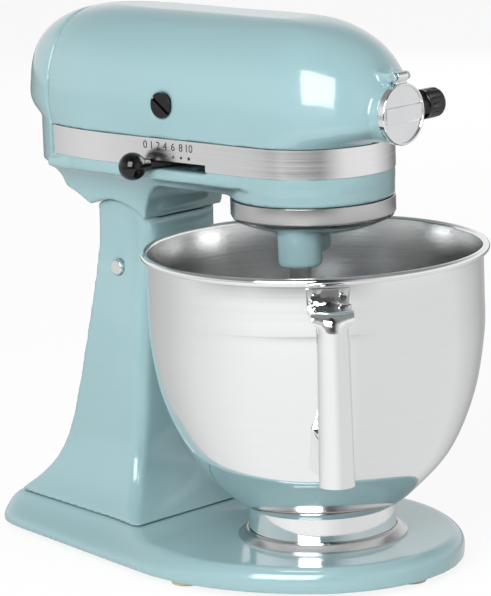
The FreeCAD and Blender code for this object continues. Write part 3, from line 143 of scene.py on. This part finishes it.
class MixerSizes(bpy.types.PropertyGroup):
    """Sizes of the pieces that are modelled here."""

    rim_radius: FloatProperty(
        name="Bowl rim radius", description="Outside radius of the rolled lip",
        default=BOWL_HIGH.x, unit="LENGTH")
    rim_height: FloatProperty(
        name="Bowl rim height", description="Height of the middle of the rolled lip",
        default=BOWL_HIGH.z - LIP_RADIUS, unit="LENGTH")
    lip_radius: FloatProperty(
        name="Lip radius", description="Radius of the rolled bead", default=LIP_RADIUS, unit="LENGTH")
    wall: FloatProperty(
        name="Bowl wall", description="Sheet thickness of the bowl", default=0.0014, unit="LENGTH")
    numeral_height: FloatProperty(
        name="Numeral height", description="Height of the speed numerals", default=0.0052, unit="LENGTH")
    cap_turn: FloatProperty(
        name="Brush cap turn", description="How far the brush caps' slots lean, in degrees", default=-55.0)
    print_lift: FloatProperty(
        name="Print lift", description="How far the print stands on the band", default=0.00006, unit="LENGTH")


class MixerColours(bpy.types.PropertyGroup):
    """Colours of the finishes."""

    enamel: FloatVectorProperty(
        name="Enamel", description="Lit tone of the enamel", subtype="COLOR", size=4,
        default=tint(140, 171, 175))
    enamel_deep: FloatVectorProperty(
        name="Enamel shade", description="Deeper tone in the enamel's cloud", subtype="COLOR", size=4,
        default=tint(135, 167, 172))
    steel: FloatVectorProperty(
        name="Steel", description="Polished steel of the bowl", subtype="COLOR", size=4,
        default=tint(243, 244, 244))
    band: FloatVectorProperty(
        name="Band", description="Brushed trim band", subtype="COLOR", size=4, default=tint(250, 250, 250))
    chrome: FloatVectorProperty(
        name="Chrome", description="Plated fittings", subtype="COLOR", size=4, default=tint(240, 241, 242))
    plastic: FloatVectorProperty(
        name="Plastic", description="Black knobs", subtype="COLOR", size=4, default=tint(9, 9, 10))
    foot: FloatVectorProperty(
        name="Feet", description="Cream rubber feet", subtype="COLOR", size=4, default=tint(214, 200, 168))
    floor: FloatVectorProperty(
        name="Floor", description="Pale studio floor", subtype="COLOR", size=4, default=tint(250, 250, 250))


def sizes():
    return bpy.context.scene.mixer_sizes


def colours():
    return bpy.context.scene.mixer_colours


# Shader groups shared by the finishes


def new_group(name, inputs, outputs):
    group = bpy.data.node_groups.new(name, "ShaderNodeTree")
    for label, kind in inputs:
        group.interface.new_socket(name=label, in_out="INPUT", socket_type=kind)
    for label, kind in outputs:
        group.interface.new_socket(name=label, in_out="OUTPUT", socket_type=kind)
    return group, group.nodes.new("NodeGroupInput"), group.nodes.new("NodeGroupOutput")


def map_range(nodes, low, high, first=0.0, last=1.0):
    node = nodes.new("ShaderNodeMapRange")
    for label, value in (("From Min", low), ("From Max", high), ("To Min", first), ("To Max", last)):
        node.inputs[label].default_value = value
    return node


def noise_mask(group, vector, scale, detail):
    noise = group.nodes.new("ShaderNodeTexNoise")
    noise.inputs["Detail"].default_value = detail
    group.links.new(vector, noise.inputs["Vector"])
    group.links.new(scale, noise.inputs["Scale"])
    return noise.outputs["Fac"]


def cloud_group():
    """Soft cloudy mask with a finer grain beside it."""
    group, source, result = new_group(
        "Cloud And Grain",
        [("Vector", "NodeSocketVector"), ("Cloud Scale", "NodeSocketFloat"),
         ("Grain Scale", "NodeSocketFloat")],
        [("Cloud", "NodeSocketFloat"), ("Grain", "NodeSocketFloat")])
    cloud = noise_mask(group, source.outputs["Vector"], source.outputs["Cloud Scale"], 2.0)
    grain = noise_mask(group, source.outputs["Vector"], source.outputs["Grain Scale"], 1.0)
    group.links.new(cloud, result.inputs["Cloud"])
    group.links.new(grain, result.inputs["Grain"])
    return group


def turned_group():
    """Lines left by a lathe or a polishing wheel, running round the upright axis."""
    group, source, result = new_group(
        "Turned Lines",
        [("Vector", "NodeSocketVector"), ("Line Scale", "NodeSocketFloat")],
        [("Lines", "NodeSocketFloat")])
    split = group.nodes.new("ShaderNodeSeparateXYZ")
    flat = group.nodes.new("ShaderNodeCombineXYZ")
    reach = group.nodes.new("ShaderNodeVectorMath")
    reach.operation = "LENGTH"
    place = group.nodes.new("ShaderNodeCombineXYZ")
    group.links.new(source.outputs["Vector"], split.inputs["Vector"])
    group.links.new(split.outputs["X"], flat.inputs["X"])
    group.links.new(split.outputs["Y"], flat.inputs["Y"])
    group.links.new(flat.outputs["Vector"], reach.inputs[0])
    group.links.new(reach.outputs["Value"], place.inputs["X"])
    group.links.new(split.outputs["Z"], place.inputs["Y"])
    lines = noise_mask(group, place.outputs["Vector"], source.outputs["Line Scale"], 3.0)
    group.links.new(lines, result.inputs["Lines"])
    return group


def bearing_ramp(group, turn, result, levels):
    """One ring of grey levels round the compass, each at its share of a turn."""
    ramp = group.nodes.new("ShaderNodeValToRGB")
    stops = ramp.color_ramp.elements
    for _ in range(len(levels) - len(stops)):
        stops.new(0.5)
    for stop, (position, level) in zip(stops, levels):
        stop.position = position
        stop.color = (level, level, level, 1)
    group.links.new(turn, ramp.inputs["Fac"])
    group.links.new(ramp.outputs["Color"], result)


def room_group():
    """How bright the studio looks in a reflection, by compass bearing: its table, far floor and walls."""
    group, source, result = new_group(
        "Room Tone", [("Vector", "NodeSocketVector")], [(name, "NodeSocketColor") for name in ROOM_TONES])
    split = group.nodes.new("ShaderNodeSeparateXYZ")
    bearing = group.nodes.new("ShaderNodeMath")
    bearing.operation = "ARCTAN2"
    turn = map_range(group.nodes, -math.pi, math.pi)
    group.links.new(source.outputs["Vector"], split.inputs["Vector"])
    group.links.new(split.outputs["Y"], bearing.inputs[0])
    group.links.new(split.outputs["X"], bearing.inputs[1])
    group.links.new(bearing.outputs["Value"], turn.inputs["Value"])
    for name, levels in ROOM_TONES.items():
        bearing_ramp(group, turn.outputs["Result"], result.inputs[name], levels)
    return group


def shared_group(name):
    makers = {"Cloud And Grain": cloud_group, "Turned Lines": turned_group, "Room Tone": room_group}
    return bpy.data.node_groups.get(name) or makers[name]()


# Finishes


class Finish:
    """One material under construction: its shader, its Object coordinates and a few joiners."""

    def __init__(self, name, **constants):
        self.material = bpy.data.materials.new(name)
        self.material.use_nodes = True
        self.nodes = self.material.node_tree.nodes
        self.links = self.material.node_tree.links
        self.shader = self.nodes["Principled BSDF"]
        for socket, value in constants.items():
            self.shader.inputs[socket.replace("_", " ")].default_value = value
        self.place = self.nodes.new("ShaderNodeTexCoord").outputs["Object"]

    def stretched(self, scale):
        mapping = self.nodes.new("ShaderNodeMapping")
        mapping.inputs["Scale"].default_value = scale
        self.links.new(self.place, mapping.inputs["Vector"])
        return mapping.outputs["Vector"]

    def group(self, name, vector, **values):
        node = self.nodes.new("ShaderNodeGroup")
        node.node_tree = shared_group(name)
        self.links.new(vector, node.inputs["Vector"])
        for socket, value in values.items():
            node.inputs[socket.replace("_", " ")].default_value = value
        return node.outputs

    def tones(self, mask, first, second):
        mix = self.nodes.new("ShaderNodeMix")
        mix.data_type = "RGBA"
        mix.inputs["A"].default_value = first
        mix.inputs["B"].default_value = second
        self.links.new(mask, mix.inputs["Factor"])
        self.links.new(mix.outputs["Result"], self.shader.inputs["Base Color"])

    def gloss(self, mask, low, high):
        spread = map_range(self.nodes, 0.3, 0.7, low, high)
        self.links.new(mask, spread.inputs["Value"])
        self.links.new(spread.outputs["Result"], self.shader.inputs["Roughness"])

    def relief(self, mask, strength, depth):
        bump = self.nodes.new("ShaderNodeBump")
        bump.inputs["Strength"].default_value = strength
        bump.inputs["Distance"].default_value = depth
        self.links.new(mask, bump.inputs["Height"])
        self.links.new(bump.outputs["Normal"], self.shader.inputs["Normal"])


def dimmed(colour, share):
    return (*[value * share for value in colour[:3]], 1.0)


def enamel_finish(name):
    finish = Finish(name, IOR=1.5, Coat_Weight=0.7, Coat_Roughness=0.05)
    mask = finish.group("Cloud And Grain", finish.place, Cloud_Scale=14.0, Grain_Scale=420.0)
    finish.tones(mask["Cloud"], colours().enamel, colours().enamel_deep)
    finish.gloss(mask["Grain"], 0.13, 0.2)
    finish.relief(mask["Grain"], 0.05, 0.0003)
    return finish.material


def turned_finish(name, colour, shade, line_scale, low, high, strength):
    finish = Finish(name, Metallic=1.0)
    mask = finish.group("Turned Lines", finish.place, Line_Scale=line_scale)
    finish.tones(mask["Lines"], colour, dimmed(colour, shade))
    finish.gloss(mask["Lines"], low, high)
    finish.relief(mask["Lines"], strength, 0.0002)
    return finish.material


def brushed_finish(name, colour, stretch, low, high):
    finish = Finish(name, Metallic=1.0)
    mask = finish.group("Cloud And Grain", finish.stretched(stretch), Cloud_Scale=1.0, Grain_Scale=3.0)
    finish.tones(mask["Grain"], colour, dimmed(colour, 0.9))
    finish.gloss(mask["Cloud"], low, high)
    finish.relief(mask["Grain"], 0.04, 0.0002)
    return finish.material


def metal_finish(name, colour, low, high, scale=60.0):
    finish = Finish(name, Metallic=1.0)
    mask = finish.group("Cloud And Grain", finish.place, Cloud_Scale=scale, Grain_Scale=12 * scale)
    finish.tones(mask["Cloud"], colour, dimmed(colour, 0.9))
    finish.gloss(mask["Cloud"], low, high)
    finish.relief(mask["Grain"], 0.03, 0.0002)
    return finish.material


def moulded_finish(name, colour, low, high, grain, strength):
    finish = Finish(name, IOR=1.48)
    mask = finish.group("Cloud And Grain", finish.place, Cloud_Scale=90.0, Grain_Scale=grain)
    finish.tones(mask["Cloud"], colour, dimmed(colour, 0.75))
    finish.gloss(mask["Cloud"], low, high)
    finish.relief(mask["Grain"], strength, 0.0003)
    return finish.material


def finish_for(name):
    """A finish by name, made the first time it is asked for."""
    if name in bpy.data.materials:
        return bpy.data.materials[name]
    tone = colours()
    rows = {
        "enamel_gloss": (enamel_finish,),
        "bowl_polish": (turned_finish, tone.steel, 0.97, 260.0, 0.05, 0.08, 0.02),
        "bowl_brushed": (turned_finish, dimmed(tone.steel, 0.8), 0.9, 2400.0, 0.16, 0.26, 0.05),
        "turned_steel": (turned_finish, dimmed(tone.band, 0.64), 0.9, 4200.0, 0.16, 0.24, 0.03),
        "band_brushed": (brushed_finish, tone.band, (6.0, 6.0, 900.0), 0.18, 0.28),
        "chrome_plate": (metal_finish, tone.chrome, 0.04, 0.09),
        "plain_steel": (metal_finish, tint(168, 168, 166), 0.25, 0.42),
        "cast_alloy": (metal_finish, tint(176, 177, 178), 0.4, 0.6, 120.0),
        "brass_bush": (metal_finish, tint(196, 160, 92), 0.24, 0.4),
        "black_gloss": (moulded_finish, tone.plastic, 0.1, 0.2, 500.0, 0.03),
        "black_soft": (moulded_finish, tint(24, 24, 24), 0.5, 0.7, 900.0, 0.15),
        "cream_rubber": (moulded_finish, tone.foot, 0.55, 0.75, 900.0, 0.12),
        "carbon_block": (moulded_finish, tint(38, 37, 36), 0.5, 0.7, 1200.0, 0.2),
        "print_ink": (moulded_finish, tint(40, 40, 42), 0.45, 0.6, 2000.0, 0.05),
        "switch_board": (moulded_finish, tint(30, 28, 26), 0.45, 0.6, 700.0, 0.1),
    }
    maker, *values = rows[name]
    return maker(name, *values)


# Mesh helpers


def piece(name, bm, body, finishes, nodes=(), sharp=SHARP_EDGE, even=False):
    """Turn a bmesh into a named piece that rides on a body and stands for some solids."""
    mesh = bpy.data.meshes.new(name)
    bm.to_mesh(mesh)
    bm.free()
    mesh.shade_smooth()
    mesh.set_sharp_from_angle(angle=math.radians(sharp))
    obj = bpy.data.objects.new(name, mesh)
    bpy.context.scene.collection.objects.link(obj)
    for finish in finishes:
        mesh.materials.append(finish_for(finish))
    if even:
        normals = obj.modifiers.new("even_normals", "WEIGHTED_NORMAL")
        normals.keep_sharp = True
    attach(obj, body)
    if nodes:
        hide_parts(*nodes)
    return obj


def solid_copy(node):
    """The node's own triangles, merged into one skin."""
    bm = bmesh.new()
    bm.from_mesh(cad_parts[node].data)
    bmesh.ops.remove_doubles(bm, verts=bm.verts, dist=2e-6)
    for face in bm.faces:
        face.material_index = 0
    return bm


def mean_place(bm, axis):
    """Middle of a mesh along one axis."""
    places = [vert.co[axis] for vert in bm.verts]
    return (min(places) + max(places)) / 2


def merge_flats(bm):
    """Join triangles that lie in one plane, so that flat faces stay flat beside rounded ones."""
    bmesh.ops.dissolve_limit(bm, angle_limit=math.radians(FLAT_ANGLE), verts=bm.verts, edges=bm.edges)
    return bm


def soften(bm, reach):
    """A small round on every crisp outside or inside edge."""
    limit = math.radians(CRISP_EDGE)
    crisp = [edge for edge in bm.edges if edge.is_manifold and edge.calc_face_angle() > limit]
    bmesh.ops.bevel(bm, geom=crisp, offset=reach, offset_type="OFFSET", segments=2, profile=0.5,
                    affect="EDGES", clamp_overlap=True, material=-1)


def dressed(node, body, finish, sharp=SHARP_EDGE, round_edge=0.0):
    bm = merge_flats(solid_copy(node))
    if round_edge:
        soften(bm, round_edge)
    return piece(node + "_skin", bm, body, [finish], [node], sharp, even=True)


def cast_skin(node, body, grain=SKIN_GRAIN):
    """An enamelled casting: an even skin over the solid, with the soft edges that a casting has."""
    obj = piece(node + "_skin", solid_copy(node), body, ["enamel_gloss"], [node])
    skin = obj.modifiers.new("even_skin", "REMESH")
    skin.mode = "VOXEL"
    skin.voxel_size = grain
    skin.use_smooth_shade = True
    ease = obj.modifiers.new("soft_edges", "SMOOTH")
    ease.factor = 0.5
    ease.iterations = SKIN_PASSES
    return obj


def smooth_line(points, steps):
    """A curve through the points, as vectors."""
    places = [Vector(point) for point in points]
    line = []
    for index in range(len(places) - 1):
        before = places[max(index - 1, 0)]
        start = places[index]
        end = places[index + 1]
        after = places[min(index + 2, len(places) - 1)]
        lead = start + (end - before) / 6
        trail = end - (after - start) / 6
        line += interpolate_bezier(start, lead, trail, end, steps + 1)[:-1]
    return line + [places[-1]]


def spun(profile, steps):
    """A profile of (radius, height) turned round the upright axis."""
    bm = bmesh.new()
    verts = [bm.verts.new((radius, 0, height)) for radius, height in profile]
    edges = [bm.edges.new(pair) for pair in zip(verts, verts[1:])]
    bmesh.ops.spin(bm, geom=verts + edges, cent=(0, 0, 0), axis=(0, 0, 1), dvec=(0, 0, 0),
                   angle=math.tau, steps=steps, use_merge=True, use_duplicate=False)
    bmesh.ops.remove_doubles(bm, verts=bm.verts, dist=1e-6)
    bmesh.ops.recalc_face_normals(bm, faces=bm.faces)
    return bm


def arc(centre, radius, start, end, count):
    points = []
    for step in range(count + 1):
        turn = math.radians(start + (end - start) * step / count)
        points.append((centre[0] + radius * math.cos(turn), centre[1] + radius * math.sin(turn)))
    return points


# Operators


class MixerOperator(bpy.types.Operator):
    """Shared options of the mixer's operators."""

    bl_options = {"REGISTER", "UNDO"}


class MIXER_OT_castings(MixerOperator):
    """Enamel on the base, the column, the three castings of the head and the planetary housing"""

    bl_idname = "mixer.castings"
    bl_label = "Castings"

    def execute(self, context):
        for node, body in (("base_casting", "stand"), ("column_casting", "stand"), ("gear_case", "head"),
                           ("motor_housing", "head"), ("rear_cover", "head")):
            cast_skin(node, body)
        cast_skin("planetary_housing", "planetary", FINE_GRAIN)
        return {"FINISHED"}


class MIXER_OT_bowl(MixerOperator):
    """Polished bowl with a rolled lip, brushed inside, on its foot"""

    bl_idname = "mixer.bowl"
    bl_label = "Bowl"

    def execute(self, context):
        size = sizes()
        wall_radius = size.rim_radius - LIP_REACH
        rows = [*BOWL_CURVE]
        rows += [(wall_radius - ease, height, 1.0, 0.0) for ease, height in BOWL_SIDE]
        outside = [(radius, height, 0) for radius, height, inward, upward in rows]
        inside = []
        for radius, height, inward, upward in reversed(rows):
            inside.append((radius - size.wall * inward, height + size.wall * upward, 0))
        bead = (size.rim_radius - size.lip_radius, size.rim_height)
        profile = [(0.0, BOWL_FLOOR)]
        profile += [(point.x, point.y) for point in smooth_line(outside, 8)]
        profile += arc(bead, size.lip_radius, *LIP_TURN, 22)
        profile += [(point.x, point.y) for point in smooth_line(inside, 8)]
        profile.append((0.0, BOWL_FLOOR + size.wall))
        bm = spun(profile, 160)
        for face in bm.faces:
            middle = face.calc_center_median()
            outward = face.normal.x * middle.x + face.normal.y * middle.y
            under = middle.z < size.rim_height - size.lip_radius
            face.material_index = 1 if under and (outward < 0 or face.normal.z > 0.3) else 0
        piece("bowl_shell_skin", bm, "bowl", ["bowl_polish", "bowl_brushed"],
              ["bowl_shell"], 50.0)
        dressed("bowl_foot", "bowl", "bowl_polish")
        dressed("bowl_handle", "bowl", "bowl_polish", 30.0)
        dressed("handle_rivets", "bowl", "chrome_plate")
        dressed("bowl_clamp_plate", "stand", "turned_steel")
        return {"FINISHED"}


class MIXER_OT_trim(MixerOperator):
    """Brushed band with its printed speed scale, and the drip ring"""

    bl_idname = "mixer.trim"
    bl_label = "Trim"

    def execute(self, context):
        dressed("trim_band", "head", "band_brushed")
        dressed("drip_ring", "head", "turned_steel", round_edge=0.0003)
        self.print_scale()
        return {"FINISHED"}

    def print_scale(self):
        size = sizes()
        ink = bmesh.new()
        for label, y, dot in SPEED_MARKS:
            self.add_numeral(ink, label, y, NUMERAL_LEVEL, size.numeral_height)
            if dot:
                turn = Matrix.Translation((0, y, DOT_LEVEL)) @ Matrix.Rotation(math.radians(-90), 4, "Y")
                bmesh.ops.create_circle(ink, cap_ends=True, segments=20, radius=dot, matrix=turn)
        band = solid_copy("trim_band")
        tree = BVHTree.FromBMesh(band)
        for vert in ink.verts:
            place = tree.ray_cast(Vector((CAD_BOX[0][0], vert.co.y, vert.co.z)), Vector((1, 0, 0)))[0]
            vert.co.x = place.x - size.print_lift
        band.free()
        piece("speed_scale_print", ink, "head", ["print_ink"])

    def add_numeral(self, ink, label, y, z, height):
        curve = bpy.data.curves.new("numeral", "FONT")
        curve.body = label
        curve.align_x = "CENTER"
        curve.align_y = "CENTER"
        curve.size = height * FONT_PER_NUMERAL
        holder = bpy.data.objects.new("numeral", curve)
        bpy.context.scene.collection.objects.link(holder)
        bpy.context.view_layer.update()
        mesh = bpy.data.meshes.new_from_object(holder.evaluated_get(bpy.context.evaluated_depsgraph_get()))
        bpy.data.objects.remove(holder)
        bpy.data.curves.remove(curve)
        upright = Matrix(((0, 0, -1, 0), (-1, 0, 0, y), (0, 1, 0, z), (0, 0, 0, 1)))
        mesh.transform(upright)
        ink.from_mesh(mesh)
        bpy.data.meshes.remove(mesh)


class MIXER_OT_hub(MixerOperator):
    """Attachment hub with its flip cover, hinge pin and thumbscrew"""

    bl_idname = "mixer.hub"
    bl_label = "Hub"

    def execute(self, context):
        dressed("hub_cover", "hub_flap", "chrome_plate", round_edge=0.00045)
        dressed("hub_sleeve", "head", "plain_steel")
        dressed("hub_hinge_pin", "head", "chrome_plate")
        dressed("attachment_knob", "hub_thumbscrew", "black_gloss")
        return {"FINISHED"}


class MIXER_OT_controls(MixerOperator):
    """Speed and lock levers with their ball knobs, brush caps and cord gland"""

    bl_idname = "mixer.controls"
    bl_label = "Controls"

    def execute(self, context):
        for name, body in (("speed", "speed_control"), ("lock", "head_lock")):
            dressed(name + "_lever", body, "black_soft")
            dressed(name + "_knob", body, "black_gloss")
        caps = merge_flats(solid_copy("brush_caps"))
        middle = Vector((0.0, mean_place(caps, 1), mean_place(caps, 2)))
        turn = Matrix.Rotation(math.radians(sizes().cap_turn), 3, "X")
        bmesh.ops.rotate(caps, verts=caps.verts, cent=middle, matrix=turn)
        piece("brush_caps_skin", caps, "head", ["black_gloss"], ["brush_caps"], even=True)
        dressed("cord_gland", "head", "black_soft")
        return {"FINISHED"}


class MIXER_OT_fittings(MixerOperator):
    """Beater shaft with its cross pin, hinge pin, feet, bolts and screws"""

    bl_idname = "mixer.fittings"
    bl_label = "Fittings"

    def execute(self, context):
        for node, body, slot, finish in (
                ("beater_shaft", "beater_drive", "steel", "chrome_plate"),
                ("cross_pin", "beater_drive", "steel", "chrome_plate"),
                ("planet_pinion", "beater_drive", "steel", "plain_steel"),
                ("ring_gear", "head", "steel", "plain_steel"),
                ("planetary_shaft", "planetary", "steel", "plain_steel"),
                ("hinge_pin", "stand", "steel", "chrome_plate"),
                ("pin_set_screw", "stand", "steel", "plain_steel"),
                ("column_bolts", "stand", "steel", "plain_steel"),
                ("clamp_screws", "stand", "steel", "plain_steel"),
                ("rubber_feet", "stand", "foot_rubber", "cream_rubber")):
            dressed(node, body, finish)
        return {"FINISHED"}


class MIXER_OT_drive_parts(MixerOperator):
    """Finishes of the motor and gear train inside the head"""

    bl_idname = "mixer.drive_parts"
    bl_label = "Drive parts"

    def execute(self, context):
        inner = {
            "armature": "plain_steel", "motor_stator": "plain_steel", "front_bearing_plate": "cast_alloy",
            "rear_bearing_plate": "cast_alloy", "motor_bushes": "brass_bush", "control_plate": "switch_board",
            "brush_holders": "brass_bush", "carbon_brushes": "carbon_block", "worm_wheel": "brass_bush",
            "worm_pinion": "plain_steel", "worm_spindle": "plain_steel", "drive_gear": "plain_steel",
            "hub_drive_gear": "plain_steel",
        }
        for node, finish in inner.items():
            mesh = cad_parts[node].data
            mesh.materials.clear()
            mesh.materials.append(finish_for(finish))
        return {"FINISHED"}


class MIXER_OT_stage(MixerOperator):
    """Pale floor, soft studio light and the camera"""

    bl_idname = "mixer.stage"
    bl_label = "Stage"

    def execute(self, context):
        self.lay_floor()
        self.set_world(context.scene)
        for name, place, aim, width, height, power, in_gloss in LIGHTS:
            lamp = self.add_light(name, Vector(place), Vector(aim), width, height, power)
            lamp.visible_glossy = in_gloss
        self.set_camera(context.scene)
        context.scene.view_settings.view_transform = "Standard"
        return {"FINISHED"}

    def lay_floor(self):
        bm = bmesh.new()
        bmesh.ops.create_grid(bm, x_segments=8, y_segments=8, size=FLOOR_HALF)
        mesh = bpy.data.meshes.new("floor")
        bm.to_mesh(mesh)
        bm.free()
        floor = bpy.data.objects.new("floor", mesh)
        floor.location.z = -FLOOR_DROP
        bpy.context.scene.collection.objects.link(floor)
        finish = Finish("floor_white", Roughness=0.7)
        mask = finish.group("Cloud And Grain", finish.place, Cloud_Scale=3.0, Grain_Scale=60.0)
        finish.tones(mask["Cloud"], colours().floor, dimmed(colours().floor, 0.985))
        self.whiten(finish)
        mesh.materials.append(finish.material)

    def whiten(self, finish):
        """Show the floor white to the camera with part of its shadow, and with the room's tone in gloss."""
        path = finish.nodes.new("ShaderNodeLightPath")
        seen = finish.nodes.new("ShaderNodeMath")
        seen.operation = "MULTIPLY"
        seen.inputs[1].default_value = FLOOR_SEEN
        share = finish.nodes.new("ShaderNodeMath")
        share.operation = "MULTIPLY_ADD"
        share.inputs[1].default_value = FLOOR_IN_GLOSS
        tone = finish.nodes.new("ShaderNodeMix")
        tone.data_type = "RGBA"
        tone.inputs["A"].default_value = (1, 1, 1, 1)
        room = finish.group("Room Tone", finish.place)
        reach = finish.nodes.new("ShaderNodeVectorMath")
        reach.operation = "LENGTH"
        edge = map_range(finish.nodes, *TABLE_EDGE)
        ground = finish.nodes.new("ShaderNodeMix")
        ground.data_type = "RGBA"
        glow = finish.nodes.new("ShaderNodeEmission")
        mix = finish.nodes.new("ShaderNodeMixShader")
        finish.links.new(path.outputs["Is Camera Ray"], seen.inputs[0])
        finish.links.new(path.outputs["Is Glossy Ray"], share.inputs[0])
        finish.links.new(seen.outputs["Value"], share.inputs[2])
        finish.links.new(path.outputs["Is Glossy Ray"], tone.inputs["Factor"])
        finish.links.new(finish.place, reach.inputs[0])
        finish.links.new(reach.outputs["Value"], edge.inputs["Value"])
        finish.links.new(edge.outputs["Result"], ground.inputs["Factor"])
        finish.links.new(room["Table"], ground.inputs["A"])
        finish.links.new(room["Far Floor"], ground.inputs["B"])
        finish.links.new(ground.outputs["Result"], tone.inputs["B"])
        finish.links.new(tone.outputs["Result"], glow.inputs["Color"])
        finish.links.new(share.outputs["Value"], mix.inputs["Fac"])
        finish.links.new(finish.shader.outputs["BSDF"], mix.inputs[1])
        finish.links.new(glow.outputs["Emission"], mix.inputs[2])
        finish.links.new(mix.outputs["Shader"], finish.nodes["Material Output"].inputs["Surface"])

    def set_world(self, scene):
        """White to the camera, walls under a dim ceiling in gloss, and soft light that grows with height."""
        world = bpy.data.worlds.new("studio")
        world.use_nodes = True
        nodes = world.node_tree.nodes
        links = world.node_tree.links
        place = nodes.new("ShaderNodeTexCoord")
        split = nodes.new("ShaderNodeSeparateXYZ")
        height = map_range(nodes, *WALL_FADE)
        tone = nodes.new("ShaderNodeGroup")
        tone.node_tree = shared_group("Room Tone")
        path = nodes.new("ShaderNodeLightPath")
        gloss = nodes.new("ShaderNodeMixShader")
        mix = nodes.new("ShaderNodeMixShader")
        white = nodes.new("ShaderNodeBackground")
        white.inputs["Color"].default_value = (1, 1, 1, 1)
        room = nodes.new("ShaderNodeBackground")
        soft = nodes["Background"]
        soft.inputs["Color"].default_value = (1, 1, 1, 1)
        lift = map_range(nodes, *SOFT_RISE)
        links.new(place.outputs["Generated"], split.inputs["Vector"])
        links.new(split.outputs["Z"], height.inputs["Value"])
        links.new(place.outputs["Generated"], tone.inputs["Vector"])
        links.new(tone.outputs["Walls"], room.inputs["Color"])
        links.new(height.outputs["Result"], room.inputs["Strength"])
        links.new(split.outputs["Z"], lift.inputs["Value"])
        links.new(lift.outputs["Result"], soft.inputs["Strength"])
        links.new(path.outputs["Is Glossy Ray"], gloss.inputs["Fac"])
        links.new(soft.outputs["Background"], gloss.inputs[1])
        links.new(room.outputs["Background"], gloss.inputs[2])
        links.new(path.outputs["Is Camera Ray"], mix.inputs["Fac"])
        links.new(gloss.outputs["Shader"], mix.inputs[1])
        links.new(white.outputs["Background"], mix.inputs[2])
        links.new(mix.outputs["Shader"], nodes["World Output"].inputs["Surface"])
        scene.world = world

    def add_light(self, name, place, aim, width, height, power):
        lamp = bpy.data.lights.new(name, "AREA")
        lamp.shape = "RECTANGLE"
        lamp.size = width
        lamp.size_y = height
        lamp.energy = power
        holder = bpy.data.objects.new(name, lamp)
        holder.location = place
        holder.rotation_euler = (aim - place).to_track_quat("-Z", "Y").to_euler()
        bpy.context.scene.collection.objects.link(holder)
        return holder

    def set_camera(self, scene):
        azimuth, elevation = [math.radians(angle) for angle in CAMERA_BEARING]
        pan, tilt, roll = [math.radians(angle) for angle in CAMERA_NUDGE]
        lens = bpy.data.cameras.new("photo_camera")
        lens.sensor_width = 36.0
        lens.lens = CAMERA_LENS
        lens.clip_start = 0.1
        lens.clip_end = 50.0
        place = Vector(CAMERA_AIM) + CAMERA_DISTANCE * self.backwards(azimuth, elevation)
        back = self.backwards(azimuth + pan, elevation + tilt)
        right = (-back).cross(Vector((0, 0, 1))).normalized()
        up = right.cross(-back)
        level_right = math.cos(roll) * right + math.sin(roll) * up
        level_up = math.cos(roll) * up - math.sin(roll) * right
        camera = bpy.data.objects.new("photo_camera", lens)
        turn = Matrix((level_right, level_up, back)).transposed()
        camera.matrix_world = Matrix.Translation(place) @ turn.to_4x4()
        scene.collection.objects.link(camera)
        scene.camera = camera

    def backwards(self, azimuth, elevation):
        flat = math.cos(elevation)
        return Vector((math.sin(azimuth) * flat, -math.cos(azimuth) * flat, math.sin(elevation)))


class MIXER_PT_panel(bpy.types.Panel):
    """Sizes, colours and steps of the mixer"""

    bl_label = "Stand mixer"
    bl_idname = "MIXER_PT_panel"
    bl_space_type = "VIEW_3D"
    bl_region_type = "UI"
    bl_category = "Mixer"

    def draw(self, context):
        for group in (context.scene.mixer_sizes, context.scene.mixer_colours):
            box = self.layout.box()
            for name in group.__annotations__:
                box.prop(group, name)
        for operator in OPERATORS:
            self.layout.operator(operator.bl_idname)


OPERATORS = (
    MIXER_OT_castings, MIXER_OT_bowl, MIXER_OT_trim, MIXER_OT_hub, MIXER_OT_controls,
    MIXER_OT_fittings, MIXER_OT_drive_parts, MIXER_OT_stage,
)
CLASSES = (MixerSizes, MixerColours, *OPERATORS, MIXER_PT_panel)


def register():
    for item in CLASSES:
        bpy.utils.register_class(item)
    bpy.types.Scene.mixer_sizes = PointerProperty(type=MixerSizes)
    bpy.types.Scene.mixer_colours = PointerProperty(type=MixerColours)


def unregister():
    del bpy.types.Scene.mixer_colours
    del bpy.types.Scene.mixer_sizes
    for item in reversed(CLASSES):
        bpy.utils.unregister_class(item)


def main():
    register()
    bpy.ops.mixer.castings()
    bpy.ops.mixer.bowl()
    bpy.ops.mixer.trim()
    bpy.ops.mixer.hub()
    bpy.ops.mixer.controls()
    bpy.ops.mixer.fittings()
    bpy.ops.mixer.drive_parts()
    bpy.ops.mixer.stage()


if __name__ == "__main__":
    main()
